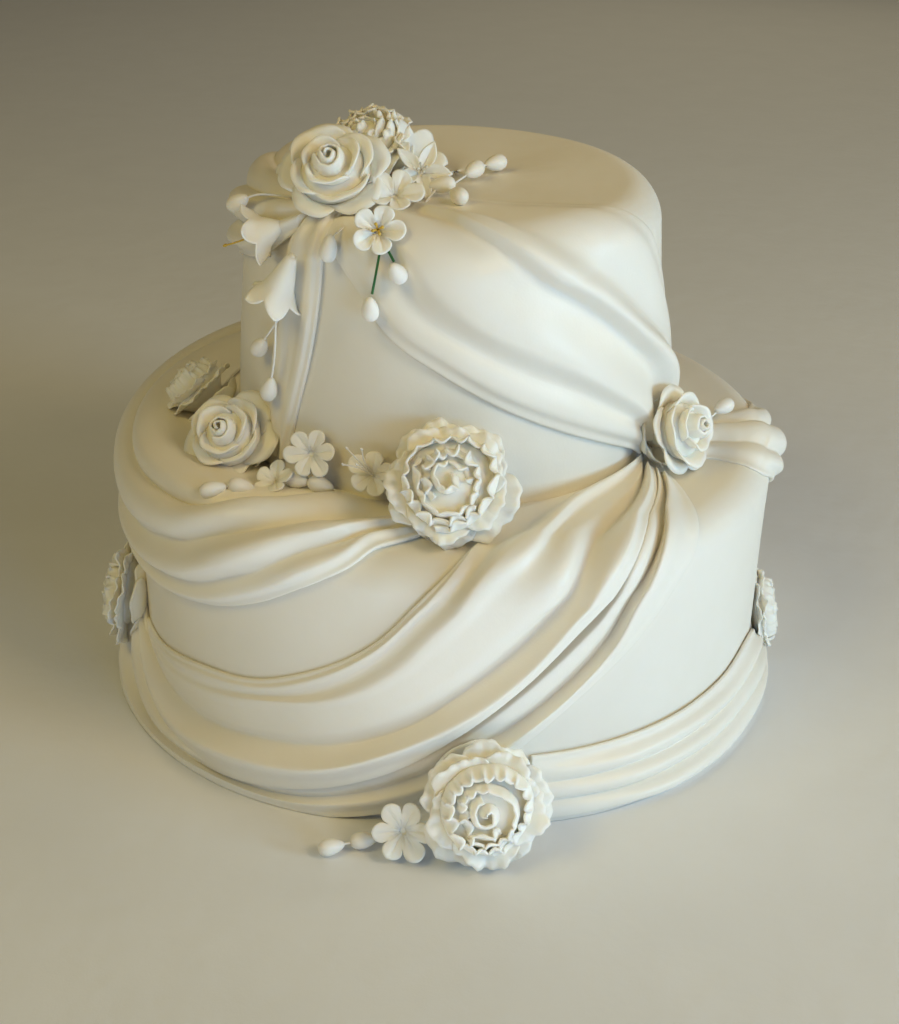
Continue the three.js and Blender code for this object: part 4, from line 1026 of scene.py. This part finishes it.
SPRAYS = {
    "left_bud": (over(UPPER, [[-52, 121, 3], [-58, 113, 12], [-64, 107, 15]]), [0.85]),
    "chin_bud": (over(UPPER, [[-30, 117, 2], [-30.5, 110, 7], [-31, 104, 6]]), [0.8]),
    "top_far_spray": (over(UPPER, [[-6, 176, 1], [30, 187, 5], [60, 189, 5], [88, 184, 5]]), [0.5, 0.95]),
    "top_near_spray": (over(UPPER, [[-14, 148, 1], [-8, 158, 7], [-2, 155, 6], [2, 148, 6]]), [0.5, 0.95]),
    "hanging_bud_left": (over(UPPER, [[-46, 76, 2], [-51, 61, 6], [-54, 54, 6]]), [0.9]),
    "hanging_bud_long": (over(UPPER, [[-45, 80, 9], [-45.5, 56, 8], [-48, 37, 7]]), [0.92]),
    "ledge_left_spray": (over(LOWER, [[-40, 149, 1], [-43, 139, 7], [-46, 130, 7]]), [0.45, 0.9]),
    "ledge_right_spray": (over(LOWER, [[-22, 168, 1], [-31, 163, 7], [-37, 160, 7]]), [0.6, 0.95]),
    "gather_spray": (over(LOWER, [[76, 157, 5], [82, 147, 13], [84.5, 142, 13]]), [0.8]),
    "foot_spray": ([(-22, -173, 8), (-34, -172, 5), (-49, -177, 4.5)], [0.4, 0.9]),
}

GREEN_WIRES = {
    "green_wire_long": over(UPPER, [[-17.4, 111, 7], [-17.6, 101, 8.5], [-18.2, 95, 8.5]]),
    "green_wire_short": over(UPPER, [[-17, 111, 7], [-15, 108.5, 8.5], [-13.4, 106, 8.5]]),
}

WIRED_BUDS = {
    "wired_bud_long": (skin(UPPER, -18.7, 88.4, 8), (-18, 80)),
    "wired_bud_short": (skin(UPPER, -12.6, 103.2, 8), (-40, 50)),
}


def spray_form(points, shares):
    """A thin white wire over the icing with a bud at each share of its length."""
    form = Form()
    tube(form, points, THREAD_RADIUS)
    route = smooth_route(points, 24)
    steps = np.linalg.norm(np.diff(route, axis=0), axis=1)
    reached = np.concatenate([[0], np.cumsum(steps)]) / steps.sum()

    def place(share):
        return np.array([np.interp(share, reached, route[:, axis]) for axis in range(3)])

    for share in shares:
        behind, ahead = place(share - 0.02), place(min(1, share + 0.02))
        away = (ahead - behind) / np.linalg.norm(ahead - behind)
        bud = bud_form(SPRAY_BUD_LENGTH, BUD_RADIUS).posed(place(share), -away)
        form.add(np.concatenate(bud.points), bud.faces)
    return form


# ---- the cake

TIER_SEED = 11
SWAG_SEED = 100
ROSE_SEED = 500
BLOSSOM_SEED = 700
TRUMPET_SEED = 800

for seed, (name, tier) in enumerate({"lower_tier": LOWER, "upper_tier": UPPER}.items()):
    add_piece(name + "_icing", tier_form(tier, TIER_SEED + seed), ICING, [name])
for seed, (name, swag) in enumerate(SWAGS.items()):
    add_piece(name + "_drape", swag_form(swag, SWAG_SEED * (seed + 1)), SWAG, [name])
for seed, (name, (make, radius, height, neck, at, facing)) in enumerate(ROSES.items()):
    rose = make(radius, height, neck, ROSE_SEED + seed).posed(at, direction(*facing))
    add_piece(name + "_petals", rose, PETAL, [name])
for seed, (name, (sizes, at, facing)) in enumerate(BLOSSOMS.items()):
    blossom = blossom_form(*sizes, BLOSSOM_SEED + seed).posed(at, direction(*facing), TURNED.get(name, 0))
    add_piece(name + "_petals", blossom, PETAL, [name])
for name, (material, sizes, at, facing) in STAMENS.items():
    add_piece(name, stamen_form(*sizes).posed(at, direction(*facing)), material, [])
for seed, (name, (sizes, at, facing)) in enumerate(TRUMPETS.items()):
    trumpet = trumpet_form(*sizes, TRUMPET_SEED + seed).posed(at, direction(*facing))
    add_piece(name + "_petals", trumpet, PETAL, [name])
for name, (points, shares) in SPRAYS.items():
    add_piece(name + "_sugar", spray_form(points, shares), BUD, [name])
for name, (at, facing) in WIRED_BUDS.items():
    bud = bud_form(WIRED_BUD_LENGTH, BUD_RADIUS).posed(at, direction(*facing))
    add_piece(name + "_sugar", bud, BUD, [name])
for name, points in GREEN_WIRES.items():
    wire = Form()
    tube(wire, points, GREEN_WIRE_RADIUS)
    add_piece(name + "_wrapped", wire, WIRE, [name])


# ---- camera, light and floor

ELEVATION = math.radians(28.62)
ROLL = math.radians(1.72)
DISTANCE = 0.79303
LOOK_AT = Vector((-0.0008, 0, 0.07078))
LENS = 55.94
SENSOR = 36
LIGHTS_AIM = Vector((0, 0, 0.1))
FLOOR_REACH = 4.0

back = Vector((0, -math.cos(ELEVATION), math.sin(ELEVATION)))
right = Vector((1, 0, 0))
up = Vector((0, math.sin(ELEVATION), math.cos(ELEVATION)))
rolled_right = right * math.cos(ROLL) + up * math.sin(ROLL)
rolled_up = -right * math.sin(ROLL) + up * math.cos(ROLL)
camera_data = bpy.data.cameras.new("camera")
camera_data.lens = LENS
camera_data.sensor_width = SENSOR
camera_data.clip_start = 0.01
camera = bpy.data.objects.new("camera", camera_data)
bpy.context.scene.collection.objects.link(camera)
camera_turn = Matrix((rolled_right, rolled_up, back)).transposed().to_4x4()
camera.matrix_world = Matrix.Translation(LOOK_AT + back * DISTANCE) @ camera_turn
bpy.context.scene.camera = camera


def area_light(name, azimuth, elevation, distance, size, power, colour):
    """A square soft light aimed at the middle of the cake."""
    light = bpy.data.lights.new(name, "AREA")
    light.size = size
    light.energy = power
    light.color = colour
    lamp = bpy.data.objects.new(name, light)
    bpy.context.scene.collection.objects.link(lamp)
    toward = Vector(direction(azimuth, elevation))
    lamp.location = LIGHTS_AIM + toward * distance
    lamp.rotation_mode = "QUATERNION"
    lamp.rotation_quaternion = toward.to_track_quat("Z", "Y")


area_light("key", 64, 10, 1.6, 0.4, 9.0, (0.5, 0.78, 1.0))
area_light("key_high", 52, 40, 1.6, 0.5, 7.0, (1.0, 0.78, 0.46))
area_light("front_fill", 32, 9, 1.6, 0.5, 4.8, (0.22, 0.54, 1.0))
area_light("left_fill", -45, 45, 1.6, 0.6, 5.4, (1.0, 0.78, 0.25))
area_light("side_rim", 95, 15, 1.6, 0.5, 2.6, (1.0, 0.95, 0.7))
area_light("side_fill", -65, 9, 1.8, 0.6, 2.0, (0.3, 0.62, 1.0))
area_light("back_fill", 165, 25, 1.9, 1.2, 2.2, (1.0, 0.86, 0.55))

# A low reflector before the cake, aimed up, in place of the bright board that lit it from below.
reflector = bpy.data.lights.new("low_reflector", "AREA")
reflector.size = 0.5
reflector.energy = 0.7
reflector.color = (0.9, 0.95, 1.0)
low_lamp = bpy.data.objects.new("low_reflector", reflector)
bpy.context.scene.collection.objects.link(low_lamp)
low_lamp.location = Vector((0.03, -0.46, 0.003))
low_lamp.rotation_euler = (math.pi, 0, 0)
low_lamp.visible_camera = False

world = bpy.data.worlds.new("studio")
world.use_nodes = True
background = world.node_tree.nodes["Background"]
background.inputs["Color"].default_value = (1.0, 0.85, 0.6, 1)
background.inputs["Strength"].default_value = 0.08
bpy.context.scene.world = world
bpy.context.scene.view_settings.view_transform = "Standard"

floor_mesh = bpy.data.meshes.new("floor")
corners = [(x * FLOOR_REACH, y * FLOOR_REACH, 0) for x, y in ((-1, -1), (1, -1), (1, 1), (-1, 1))]
floor_mesh.from_pydata(corners, [], [(0, 1, 2, 3)])
floor_mesh.materials.append(icing_material("pale_floor", (0.8, 0.82, 0.85), (0.78, 0.8, 0.83), 0.6, 0.0))
floor = bpy.data.objects.new("floor", floor_mesh)
bpy.context.scene.collection.objects.link(floor)
